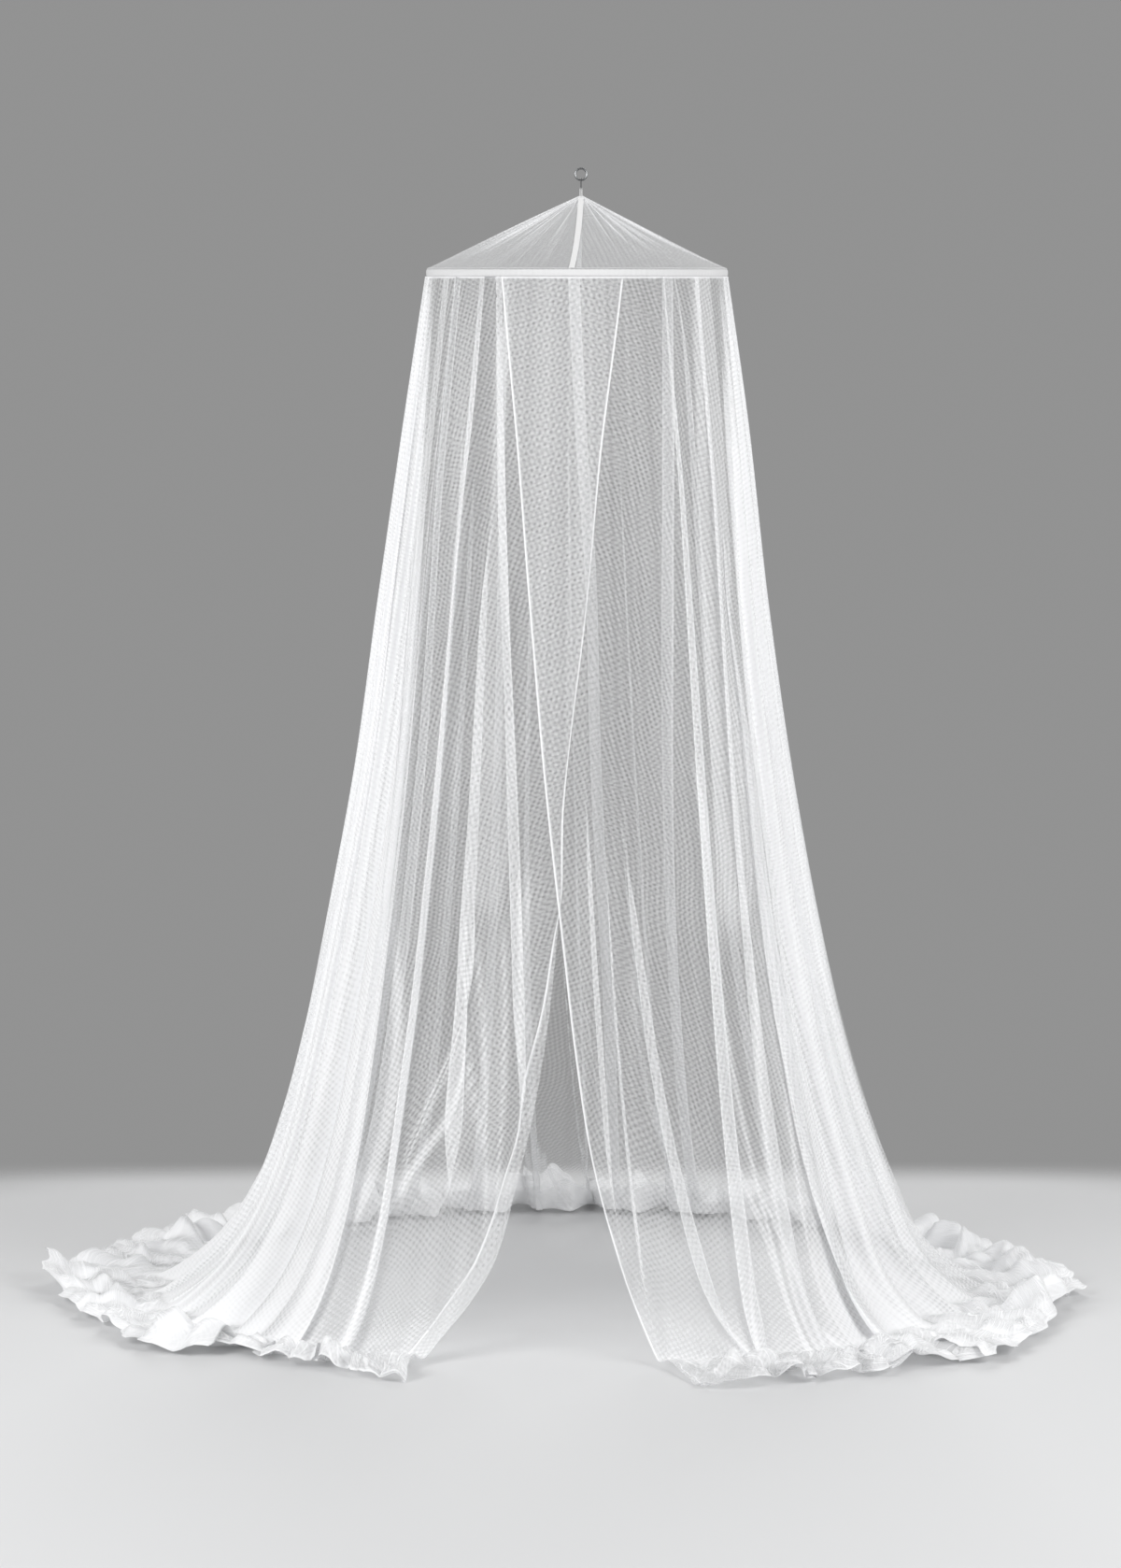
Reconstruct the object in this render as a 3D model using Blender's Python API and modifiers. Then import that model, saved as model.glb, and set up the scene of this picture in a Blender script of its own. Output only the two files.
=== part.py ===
"""Hanging mosquito net: ring, tape loop, shallow net cone, hoop in a casing and a long skirt in two panels.

The origin is the point of the ring that bears on the ceiling hook. +Z is up, and the front opening faces -Y.
Angles are measured from the front (-Y) towards the right (+X), in degrees. A drop is measured down from the
skirt's top edge.
"""

import bpy
import math
import numpy as np

# Overall heights
FLOOR_Z = -2.295
HOOP_Z = -0.205
HOOP_X = -0.008

# Ring, link and tape loop
RING_RADIUS = 0.0115
RING_WIRE = 0.002
RING_Z = -(RING_RADIUS - RING_WIRE)
RING_STEPS = 24
RING_SIDES = 8
LINK_WIRE = 0.001
LINK_SIDES = 6
LINK_HALF_WIDTH = 0.005
LINK_CORNER = 0.0016
LINK_BOTTOM_Z = -0.038
LOOP_WIDTH = 0.006
LOOP_TAPE = 0.001
LOOP_BOTTOM_Z = -0.0555
CORNER_STEPS = 4
GAP = 0.0003
LEAST_STEP = 0.00001

# Cone
CONE_TIP_RADIUS = 0.0046
CONE_TIP_Z = -0.0525
CONE_SAG = 0.005
CONE_NET = 0.0012
CONE_EDGE = 0.001
CONE_ROWS = (0.0, 0.12, 0.3, 0.5, 0.7, 0.87, 1.0)
CONE_COLUMNS = 20
CREASE_DEPTH = 0.005
CREASE_CALM = (6.0, 16.0)
FRONT_SEAM_TIP = 0.0
FRONT_SEAM_RIM = -2.2
BACK_SEAM_TIP = 180.0
BACK_SEAM_RIM = 179.0
SEAM_TAPE_WIDTH = 0.011
SEAM_TAPE = 0.0008
SEAM_TAPE_START_RADIUS = 0.014

# Creases round the cone: number, phase and share of the depth
CREASES = ((11.0, 0.8, 0.6), (19.0, 2.0, 0.4))

# Hoop and casing
CASING_OUTER_RADIUS = 0.303
CASING_HEIGHT = 0.015
CASING_DEPTH = 0.010
CASING_WALL = 0.0012
CASING_SLIT = 0.002
CASING_CORNER = 0.0022
CASING_MERGE = 0.00005
HOOP_WIRE = 0.0035
HOOP_SIDES = 8
CASING_SIDES = 48

# Skirt
NET = 0.0015
FLOOR_SNAP = 0.0002
SKIRT_TOP_Z = HOOP_Z - CASING_HEIGHT / 2 - GAP
DROP = SKIRT_TOP_Z - FLOOR_Z - NET / 2
SIDE_POWER = 2.5
UNDERLAP = 0.010
UNDERLAP_ENDS = (1.36, 1.60)
UNDERLAP_ANGLES = (-48.0, -34.0)
TURN_BACK_STARTS = (1.12, 1.32)
TURN_ARC = 0.006
TURN_ARC_SHARES = (0.34, 0.67, 1.0)
TURN_FLAT_SHARES = (0.55, 1.0)
TURN_LEAST = 0.000001
TURN_UPWARD = (-0.06, 0.0)
BACK_TAPE_WIDTH = 0.024
BACK_TAPE = 0.0012
BACK_TAPE_OFFSET = 0.0022
BACK_TAPE_ROW = 0.985
SEAM_GAP = 0.0004

# Radius of the hanging skirt: drop, then left, right, front and back
SKIRT_RADII = (
    (0.00, 0.303, 0.303, 0.303, 0.303),
    (0.30, 0.347, 0.345, 0.335, 0.338),
    (0.65, 0.399, 0.386, 0.375, 0.380),
    (1.00, 0.450, 0.438, 0.415, 0.425),
    (1.30, 0.510, 0.495, 0.452, 0.470),
    (1.50, 0.554, 0.542, 0.478, 0.505),
    (1.70, 0.606, 0.603, 0.508, 0.545),
    (1.85, 0.662, 0.660, 0.533, 0.578),
    (1.98, 0.745, 0.720, 0.560, 0.612),
    (2.09, 0.860, 0.820, 0.590, 0.650),
)

# Front edges and back seam: drop, then the angle of the right panel's edge, of the fold line beside the left
# panel's edge, and of the seam. The last row is the hem on the floor.
EDGES = (
    (0.00, -28.9, 16.1, 181.0),
    (0.30, -21.0, 7.9, 178.5),
    (0.65, -14.3, 1.7, 175.2),
    (1.00, -8.6, -4.3, 174.4),
    (1.30, -3.6, -5.7, 173.2),
    (1.50, -0.6, -8.2, 172.2),
    (1.70, 3.0, -12.0, 171.8),
    (1.90, 8.4, -17.2, 171.8),
    (2.09, 14.5, -27.0, 171.8),
    (2.40, 17.5, -25.0, 171.8),
)

# Width of the strip that the left panel turns inwards at its front edge: drop and width
TURN_WIDTHS = (
    (0.00, 0.008),
    (1.12, 0.008),
    (1.30, 0.014),
    (1.50, 0.025),
    (1.70, 0.033),
    (1.90, 0.044),
    (2.09, 0.044),
)

# Folds that stand out of the skirt: angle at the hoop, at mid drop and at the floor, the drops between which
# the fold shows, its half width at the hoop and at the floor, and its depth
FOLDS = (
    (-38.0, -40.0, -42.0, 0.00, 2.09, 0.013, 0.024, 0.024),
    (-31.0, -18.0, -12.5, 0.00, 2.09, 0.015, 0.026, 0.017),
    (-28.0, -27.0, -24.5, 0.35, 2.09, 0.011, 0.024, 0.016),
    (-25.0, -26.0, -41.0, 1.05, 1.80, 0.012, 0.018, 0.012),
    (-53.0, -50.0, -50.0, 0.00, 2.09, 0.013, 0.026, 0.022),
    (2.0, 2.0, 10.0, 0.95, 2.09, 0.013, 0.024, 0.016),
    (13.0, 12.0, 30.0, 1.00, 2.09, 0.014, 0.026, 0.020),
    (32.5, 33.7, 33.2, 0.00, 2.09, 0.013, 0.027, 0.024),
    (49.0, 44.0, 40.5, 0.00, 2.09, 0.012, 0.024, 0.020),
    (55.0, 51.0, 55.0, 0.60, 2.09, 0.013, 0.028, 0.022),
    (118.0, 124.0, 128.0, 0.00, 2.09, 0.015, 0.030, 0.022),
    (142.0, 154.0, 156.0, 0.00, 2.09, 0.016, 0.028, 0.022),
    (-128.0, -134.0, -136.0, 0.00, 2.09, 0.016, 0.030, 0.022),
    (-152.0, -158.0, -160.0, 0.00, 2.09, 0.016, 0.028, 0.020),
)
FOLD_AT_HOOP = 0.35
FOLD_FULL_DROP = 0.5
FOLD_FADE_IN = 0.35
FOLD_FADE_OUT = 0.3

# Close gathers of the two sides: drop, the half angle of the gathered part and the depth of its folds
GATHERS = (
    (0.00, 22.0, 0.005),
    (0.30, 31.0, 0.017),
    (0.65, 37.0, 0.027),
    (1.30, 43.0, 0.038),
    (2.09, 45.0, 0.052),
)
GATHER_PERIOD = 9.0
GATHER_EDGE = 10.0
GATHER_SIDE_PHASE = 0.5
GATHER_WANDER = 0.9
GATHER_WANDER_RATE = 3.1
GATHER_WANDER_DROP = 1.3
GATHER_UNEVEN = 0.28
GATHER_UNEVEN_RATE = 11.0
GATHER_UNEVEN_PHASE = 0.7

# Hem on the floor: angle and radius
HEM = (
    (-180.0, 0.870), (-150.0, 0.900), (-120.0, 0.975), (-105.0, 1.035), (-88.0, 1.085), (-74.0, 1.010),
    (-62.0, 0.965), (-48.0, 0.835), (-34.0, 0.785), (-15.0, 0.760), (15.0, 0.790), (30.0, 0.825),
    (45.0, 0.905), (60.0, 0.985), (75.0, 0.995), (92.0, 1.015), (105.0, 0.930), (120.0, 0.890),
    (150.0, 0.860), (180.0, 0.870),
)
HEM_WAVE = 0.022
HEM_WAVES = ((17.0, 0.6), (5.0, 0.2))

# Crumples of the train: number round the hem, phase, turn from floor line to hem, and height
CRUMPLE_WAVES = ((13.0, 1.1, 2.4, 1.0), (21.0, 0.4, -3.3, 0.8))
CRUMPLE = 0.050
CRUMPLE_LEAST = 0.22
CRUMPLE_SHARE = 0.45
CRUMPLE_START = 0.4
CRUMPLE_ROLLS = 1.6
CRUMPLE_BEND = 2.0
CRUMPLE_BEND_RATE = 3.0
CRUMPLE_BEND_PHASE = 0.5
CRUMPLE_GROWN = 0.35
CRUMPLE_FRONT = 0.45
CRUMPLE_BACK = 0.4
CRUMPLE_BACK_FROM = (0.2, 0.9)

# Rows of the cloth: 0 at the hoop, 1 where it meets the floor and 2 at the hem
HANGING_ROWS = (0.0, 0.065, 0.15, 0.25, 0.355, 0.465, 0.565, 0.66, 0.745, 0.825, 0.892, 0.95, 1.0)
FLOOR_ROWS = (1.2, 1.4, 1.6, 1.8, 2.0)
FRONT_COLUMNS = 17
SIDE_COLUMNS = 46
BACK_COLUMNS = 13
SIDE_FROM = 48.0
SIDE_TO = 134.0


def smooth_curve(x, points, column):
    """Value at x of a smooth curve through one column of a table, whose first column holds x."""
    table = np.array(points)
    xs = table[:, 0]
    ys = table[:, column]
    slopes = np.gradient(ys, xs)
    x = np.clip(x, xs[0], xs[-1])
    i = np.clip(np.searchsorted(xs, x, side="right") - 1, 0, len(xs) - 2)
    span = xs[i + 1] - xs[i]
    t = (x - xs[i]) / span
    start = ys[i] * (1 + 2 * t) * (1 - t) ** 2 + slopes[i] * span * t * (1 - t) ** 2
    end = ys[i + 1] * t * t * (3 - 2 * t) - slopes[i + 1] * span * t * t * (1 - t)
    return start + end


def ease(x, low, high):
    """0 below low, 1 above high and smooth between them."""
    t = np.clip((x - low) / (high - low), 0.0, 1.0)
    return t * t * (3 - 2 * t)


def signed(angle):
    """The angle brought to between -180 and 180 degrees."""
    return (np.asarray(angle) + 180.0) % 360.0 - 180.0


def skirt_radius(angle, drop):
    """Radius of the skirt without its folds."""
    a = np.radians(angle)
    side = np.where(np.sin(a) < 0, smooth_curve(drop, SKIRT_RADII, 1), smooth_curve(drop, SKIRT_RADII, 2))
    middle = np.where(np.cos(a) > 0, smooth_curve(drop, SKIRT_RADII, 3), smooth_curve(drop, SKIRT_RADII, 4))
    return middle + (side - middle) * np.abs(np.sin(a)) ** SIDE_POWER


def fold_height(angle, drop):
    """How far the folds stand out of the plain skirt, or go into it."""
    angle = signed(angle)
    radius = skirt_radius(angle, drop)
    share = np.clip(drop / SKIRT_RADII[-1][0], 0.0, 1.0)
    height = 0.0 * radius
    for top, middle, floor, start, end, top_width, floor_width, depth in FOLDS:
        centre = (1 - share) * (1 - 2 * share) * top + 4 * share * (1 - share) * middle
        centre = centre + share * (2 * share - 1) * floor
        width = top_width + (floor_width - top_width) * share
        across = radius * np.radians(signed(angle - centre)) / width
        shown = ease(drop, start, start + FOLD_FADE_IN)
        if start == 0:
            shown = FOLD_AT_HOOP + (1 - FOLD_AT_HOOP) * ease(drop, 0.0, FOLD_FULL_DROP)
        if end < SKIRT_RADII[-1][0]:
            shown = shown * (1 - ease(drop, end - FOLD_FADE_OUT, end))
        height = height + depth * shown * np.exp(-across * across)
    half = smooth_curve(drop, GATHERS, 1)
    depth = smooth_curve(drop, GATHERS, 2)
    from_side = np.abs(np.abs(angle) - 90.0)
    gathered = 1 - ease(from_side, half - GATHER_EDGE, half)
    a = np.radians(angle)
    wander = GATHER_WANDER * np.sin(GATHER_WANDER_RATE * a + GATHER_WANDER_DROP * drop)
    wave = 0.5 - 0.5 * np.sin(a * 360.0 / GATHER_PERIOD + wander + GATHER_SIDE_PHASE * np.sign(angle))
    uneven = 1 - GATHER_UNEVEN + GATHER_UNEVEN * np.sin(GATHER_UNEVEN_RATE * a + GATHER_UNEVEN_PHASE)
    return height - depth * gathered * wave * uneven


def floor_lift(angle, out):
    """Height of the crumples on the floor. out is 0 where the skirt meets the floor and 1 at the hem."""
    a = np.radians(signed(angle))
    wave = sum(height * np.sin(rate * a + phase + turn * out) for rate, phase, turn, height in CRUMPLE_WAVES)
    bend = CRUMPLE_BEND * np.sin(CRUMPLE_BEND_RATE * a + CRUMPLE_BEND_PHASE)
    rolls = np.cos(2 * math.pi * CRUMPLE_ROLLS * out + bend)
    lift = CRUMPLE_SHARE * (wave * (CRUMPLE_START + (1 - CRUMPLE_START) * out) + rolls) - CRUMPLE_LEAST
    wide = CRUMPLE_FRONT + (1 - CRUMPLE_FRONT) * np.abs(np.sin(a))
    wide = wide + CRUMPLE_BACK * ease(-np.cos(a), *CRUMPLE_BACK_FROM)
    return CRUMPLE * ease(out, 0.0, CRUMPLE_GROWN) * wide * np.maximum(lift, 0.0)


def skirt_point(angle, row, offset=0.0):
    """Points of the skirt's middle surface at these angles and rows, moved out by offset."""
    angle = np.asarray(angle, float)
    drop = DROP * np.minimum(row, 1.0)
    out = np.clip(row - 1.0, 0.0, 1.0)
    radius = skirt_radius(angle, drop) + fold_height(angle, drop) + offset
    a = np.radians(angle)
    hem = smooth_curve(signed(angle), HEM, 1)
    hem = hem + HEM_WAVE * math.prod(np.sin(rate * a + phase) for rate, phase in HEM_WAVES)
    radius = radius + (hem - radius) * out
    z = np.where(row < 1.0, SKIRT_TOP_Z - drop, FLOOR_Z + NET / 2 + floor_lift(angle, out))
    return np.stack([HOOP_X + radius * np.sin(a), -radius * np.cos(a), z], axis=-1)


def edge_angle(row, column):
    """Angle of a front edge or of the back seam at this row."""
    floor = EDGES[-2][0]
    hem = EDGES[-1][0]
    return smooth_curve(np.where(row < 1.0, row * floor, floor + (row - 1.0) * (hem - floor)), EDGES, column)


def mesh_object(name, points, faces, material, smooth=True):
    """A new mesh object in the net's collection."""
    mesh = bpy.data.meshes.new(name)
    mesh.from_pydata([tuple(p) for p in points], [], faces)
    for polygon in mesh.polygons:
        polygon.use_smooth = smooth
    mesh.materials.append(material)
    made = bpy.data.objects.new(name, mesh)
    collection.objects.link(made)
    return made


def grid_object(name, grid, thickness, material):
    """Cloth from a grid of points, rows then columns, thickened equally to both sides."""
    rows, columns = grid.shape[:2]
    faces = []
    for r in range(rows - 1):
        for c in range(columns - 1):
            i = r * columns + c
            faces.append((i, i + columns, i + columns + 1, i + 1))
    made = mesh_object(name, grid.reshape(-1, 3), faces, material)
    add_solidify(made, thickness)
    return made


def add_solidify(made, thickness):
    """Thickens the surface equally to both sides."""
    modifier = made.modifiers.new("thickness", "SOLIDIFY")
    modifier.thickness = thickness
    modifier.offset = 0.0
    modifier.use_even_offset = True
    modifier.use_quality_normals = True


def settle_on_floor(made):
    """Keeps the thickened cloth, with all that lies on the floor flat on it."""
    graph = bpy.context.evaluated_depsgraph_get()
    mesh = bpy.data.meshes.new_from_object(made.evaluated_get(graph))
    for vertex in mesh.vertices:
        if vertex.co.z < FLOOR_Z + FLOOR_SNAP:
            vertex.co.z = FLOOR_Z
    made.modifiers.clear()
    made.data = mesh


def make_material(name, colour, roughness, metallic=0.0):
    """A plain Principled material."""
    material = bpy.data.materials.new(name)
    material.use_nodes = True
    shader = material.node_tree.nodes["Principled BSDF"]
    shader.inputs["Base Color"].default_value = (*colour, 1.0)
    shader.inputs["Roughness"].default_value = roughness
    shader.inputs["Metallic"].default_value = metallic
    return material


def wire_object(name, points, radius, sides, material):
    """A closed round wire through the points."""
    curve = bpy.data.curves.new(name, "CURVE")
    curve.dimensions = "3D"
    curve.bevel_depth = radius
    curve.bevel_resolution = sides // 2 - 2
    spline = curve.splines.new("POLY")
    spline.points.add(len(points) - 1)
    for point, place in zip(spline.points, points):
        point.co = (*place, 1.0)
        point.radius = 1.0
    spline.use_cyclic_u = True
    spline.use_smooth = True
    curve.materials.append(material)
    made = bpy.data.objects.new(name, curve)
    collection.objects.link(made)
    return made


def rounded_box(half_width, half_height, corner, steps):
    """Points round a box with rounded corners, about its centre, as (across, up)."""
    points = []
    for quarter, (x, z) in enumerate(((1, 1), (-1, 1), (-1, -1), (1, -1))):
        for i in range(steps + 1):
            a = math.pi / 2 * (quarter + i / steps)
            across = x * (half_width - corner) + corner * math.cos(a)
            up = z * (half_height - corner) + corner * math.sin(a)
            if not points or math.dist(points[-1], (across, up)) > LEAST_STEP:
                points.append((across, up))
    return points


def add_fittings():
    """Ring, link and tape loop."""
    ring = []
    for i in range(RING_STEPS):
        a = 2 * math.pi * i / RING_STEPS
        ring.append((RING_RADIUS * math.cos(a), 0.0, RING_Z + RING_RADIUS * math.sin(a)))
    steel = make_material("ring_steel", (0.45, 0.46, 0.47), 0.3, 1.0)
    wire_object("hanging_ring", ring, RING_WIRE, RING_SIDES, steel)
    link_top = RING_Z - RING_RADIUS + RING_WIRE + GAP + LINK_WIRE
    link_centre = (link_top + LINK_BOTTOM_Z) / 2
    link_half = (link_top - LINK_BOTTOM_Z) / 2
    outline = rounded_box(LINK_HALF_WIDTH, link_half, LINK_CORNER, CORNER_STEPS)
    link = [(0.0, y, link_centre + z) for y, z in outline]
    steel = make_material("link_steel", (0.5, 0.5, 0.51), 0.35, 1.0)
    wire_object("hanging_link", link, LINK_WIRE, LINK_SIDES, steel)
    loop_top = LINK_BOTTOM_Z + LINK_WIRE + GAP + LOOP_TAPE / 2
    loop_half = LINK_WIRE + GAP + LOOP_TAPE / 2
    band = rounded_box(loop_half, (loop_top - LOOP_BOTTOM_Z) / 2, loop_half, CORNER_STEPS)
    loop_centre = (loop_top + LOOP_BOTTOM_Z) / 2
    points = []
    for x, z in band:
        points.append((x, -LOOP_WIDTH / 2, loop_centre + z))
        points.append((x, LOOP_WIDTH / 2, loop_centre + z))
    count = len(band)
    faces = [(2 * i, 2 * i + 1, (2 * i + 3) % (2 * count), (2 * i + 2) % (2 * count)) for i in range(count)]
    loop = mesh_object("hanging_loop", points, faces, make_material("loop_tape", (0.86, 0.86, 0.86), 0.8))
    add_solidify(loop, LOOP_TAPE)


def cone_point(angle, along, offset=0.0):
    """Points of the cone's middle surface. along is 0 at the tip and 1 at the hoop."""
    angle = np.asarray(angle, float)
    along = np.asarray(along, float)
    rim_radius = CASING_OUTER_RADIUS - CONE_EDGE
    rim_z = HOOP_Z + CASING_HEIGHT / 2 + GAP + CONE_NET / 2
    a = np.radians(angle)
    radius = CONE_TIP_RADIUS + (rim_radius - CONE_TIP_RADIUS) * along
    z = CONE_TIP_Z + (rim_z - CONE_TIP_Z) * along
    hollow = 4 * along * (1 - along)
    creases = sum(share * np.sin(number * a + phase) for number, phase, share in CREASES)
    from_seam = np.minimum(np.abs(signed(angle)), np.abs(signed(angle - 180.0)))
    z = z + offset + hollow * (CREASE_DEPTH * creases * ease(from_seam, *CREASE_CALM) - CONE_SAG)
    return np.stack([HOOP_X * along + radius * np.sin(a), -radius * np.cos(a), z], axis=-1)


def seam_angle(along, tip, rim):
    """Angle of a cone seam, which is not quite straight below the tip."""
    return tip + (rim - tip) * np.asarray(along, float)


def cone_radius(along):
    """Level radius of the cone, without its sag."""
    return CONE_TIP_RADIUS + (CASING_OUTER_RADIUS - CONE_TIP_RADIUS) * along


def cone_panel(side, along, low, high):
    """One net panel of the cone between two seam angles."""
    radius = cone_radius(along)
    tape_share = np.degrees(SEAM_TAPE_WIDTH / 2 / np.maximum(radius, SEAM_TAPE_WIDTH)) / (high - low)
    even = np.linspace(0.0, 1.0, CONE_COLUMNS)[None, 1:-1]
    inner = tape_share + (1 - 2 * tape_share) * even
    share = np.concatenate([0 * along, tape_share, inner, 1 - tape_share, 0 * along + 1], axis=1)
    angles = low + (high - low) * share
    colour = make_material(f"cone_net_{side}", (0.88, 0.88, 0.88), 0.9)
    grid_object(f"cone_net_{side}", cone_point(angles, along + 0 * angles), CONE_NET, colour)


def add_cone():
    """Two net panels and the tapes over their seams."""
    along = np.array(CONE_ROWS)[:, None]
    half_gap = np.degrees(SEAM_GAP / 2 / cone_radius(along))
    front = seam_angle(along, FRONT_SEAM_TIP, FRONT_SEAM_RIM)
    back = seam_angle(along, BACK_SEAM_TIP, BACK_SEAM_RIM)
    cone_panel("right", along, front + half_gap, back - half_gap)
    cone_panel("left", along, back + half_gap, front + 360.0 - half_gap)
    start = (SEAM_TAPE_START_RADIUS - CONE_TIP_RADIUS) / (CASING_OUTER_RADIUS - CONE_TIP_RADIUS)
    along = np.array((start, *CONE_ROWS[1:]))[:, None]
    half_width = np.degrees(SEAM_TAPE_WIDTH / 2 / cone_radius(along))
    lift = (CONE_NET + SEAM_TAPE) / 2 + 2 * GAP
    seams = (
        ("cone_front_tape", FRONT_SEAM_TIP, FRONT_SEAM_RIM),
        ("cone_back_tape", BACK_SEAM_TIP, BACK_SEAM_RIM),
    )
    for name, tip, rim in seams:
        angles = seam_angle(along, tip, rim) + half_width * np.array([[-1.0, 0.0, 1.0]])
        grid = cone_point(angles, along + 0 * angles, lift)
        colour = make_material(name, (0.9, 0.9, 0.9), 0.8)
        grid_object(name, grid, SEAM_TAPE, colour)


def add_hoop():
    """Rod, and the open sleeve round it."""
    middle = CASING_OUTER_RADIUS - CASING_DEPTH / 2
    rod_z = HOOP_Z - CASING_HEIGHT / 2 + CASING_WALL + GAP + HOOP_WIRE
    rod = []
    for i in range(CASING_SIDES):
        a = 2 * math.pi * i / CASING_SIDES
        rod.append((HOOP_X + middle * math.cos(a), middle * math.sin(a), rod_z))
    wire_object("hoop", rod, HOOP_WIRE, HOOP_SIDES, make_material("hoop_rod", (0.8, 0.8, 0.8), 0.5))
    half_height = (CASING_HEIGHT - CASING_WALL) / 2
    half_depth = (CASING_DEPTH - CASING_WALL) / 2
    corner = CASING_CORNER
    profile = (
        (-half_depth, half_height - corner),
        (-half_depth, half_height),
        (half_depth - corner, half_height),
        (half_depth, half_height - corner),
        (half_depth, corner - half_height),
        (half_depth - corner, -half_height),
        (-half_depth, -half_height),
        (-half_depth, half_height - CASING_SLIT - corner),
    )
    mesh = bpy.data.meshes.new("hoop_casing")
    points = [(middle + x, 0.0, z) for x, z in profile]
    mesh.from_pydata(points, [(i, i + 1) for i in range(len(points) - 1)], [])
    mesh.materials.append(make_material("hoop_casing", (0.9, 0.9, 0.9), 0.85))
    casing = bpy.data.objects.new("hoop_casing", mesh)
    casing.location = (HOOP_X, 0.0, HOOP_Z)
    collection.objects.link(casing)
    screw = casing.modifiers.new("round", "SCREW")
    screw.steps = CASING_SIDES
    screw.render_steps = CASING_SIDES
    screw.use_merge_vertices = True
    screw.merge_threshold = CASING_MERGE
    screw.use_smooth_shade = True
    screw.use_normal_flip = True
    add_solidify(casing, CASING_WALL)


def panel_columns(row, edge_column, seam_column, side):
    """Angles of one panel's columns at this row, from its front edge round its side to the back seam."""
    radius = skirt_radius(180.0, DROP * np.minimum(row, 1.0))
    edge = side * edge_angle(row, edge_column)
    seam = edge_angle(row, seam_column)
    seam = seam if side > 0 else 360.0 - seam
    seam = seam - np.degrees(SEAM_GAP / 2 / radius)
    tape = seam - np.degrees(BACK_TAPE_WIDTH / 2 / radius)
    front = edge + (SIDE_FROM - edge) * np.linspace(0.0, 1.0, FRONT_COLUMNS)[None, :-1]
    sides = np.linspace(SIDE_FROM, SIDE_TO, SIDE_COLUMNS)[None, :] + 0 * row
    back = SIDE_TO + (tape - SIDE_TO) * np.linspace(0.0, 1.0, BACK_COLUMNS)[None, 1:]
    return side * np.concatenate([front, sides, back, seam], axis=1)


def turned_back(row, fold_angle, offset):
    """The left panel's strip beyond its fold line: flat at the top, and turned inwards lower down."""
    drop = DROP * np.minimum(row, 1.0)
    flat = (smooth_curve(drop, TURN_WIDTHS, 1) - TURN_ARC) * np.array(TURN_FLAT_SHARES)[None, :]
    along = np.concatenate([TURN_ARC * np.array(TURN_ARC_SHARES)[None, :] + 0 * row, TURN_ARC + flat], axis=1)
    bend = math.pi * ease(drop, *TURN_BACK_STARTS)
    arc = np.minimum(along, TURN_ARC)
    turn = np.maximum(bend, TURN_LEAST) / TURN_ARC
    forward = np.sin(turn * arc) / turn + np.cos(bend) * (along - arc)
    inward = (1 - np.cos(turn * arc)) / turn + np.sin(bend) * (along - arc)
    radius = skirt_radius(fold_angle, drop)
    angle = fold_angle + np.degrees(forward / radius)
    points = skirt_point(angle, row + 0 * angle, offset)
    outward = np.stack([np.sin(np.radians(angle)), -np.cos(np.radians(angle)), 0 * angle], axis=-1)
    upward = ease(row - 1.0, *TURN_UPWARD)
    moved = points - outward * (inward * (1 - upward))[..., None]
    moved[..., 2] = moved[..., 2] + inward * upward
    return moved


def add_skirt():
    """Two panels, and the tape over their back seam."""
    row = np.array(HANGING_ROWS + FLOOR_ROWS)[:, None]
    drop = DROP * np.minimum(row, 1.0)
    right = panel_columns(row, 1, 3, 1.0)
    grid = skirt_point(right, row + 0 * right)[:, ::-1]
    colour = make_material("skirt_net_right", (0.88, 0.88, 0.88), 0.9)
    settle_on_floor(grid_object("skirt_right", grid, NET, colour))
    left = panel_columns(row, 2, 3, -1.0)
    under = UNDERLAP * (1 - ease(drop, *UNDERLAP_ENDS)) * ease(left, *UNDERLAP_ANGLES)
    main = skirt_point(left, row + 0 * left, -under)
    strip = turned_back(row, left[:, :1], -under[:, :1])
    grid = np.concatenate([strip[:, ::-1], main], axis=1)
    colour = make_material("skirt_net_left", (0.88, 0.88, 0.88), 0.9)
    settle_on_floor(grid_object("skirt_left", grid, NET, colour))
    tape_row = np.minimum(row[row[:, 0] <= 1.0], BACK_TAPE_ROW)
    seam = edge_angle(tape_row, 3)
    half = np.degrees(BACK_TAPE_WIDTH / 2 / skirt_radius(180.0, DROP * tape_row))
    angles = seam + half * np.array([[-1.0, 0.0, 1.0]])
    grid = skirt_point(angles, tape_row + 0 * angles, -BACK_TAPE_OFFSET)
    colour = make_material("back_tape", (0.9, 0.9, 0.9), 0.85)
    grid_object("skirt_back_tape", grid[:, ::-1], BACK_TAPE, colour)


for old in list(bpy.data.objects):
    bpy.data.objects.remove(old, do_unlink=True)
collection = bpy.data.collections.new("mosquito_net")
bpy.context.scene.collection.children.link(collection)
add_fittings()
add_cone()
add_hoop()
add_skirt()
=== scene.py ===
import math

import bmesh
import bpy
import numpy as np
from mathutils import Matrix, Vector


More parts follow.
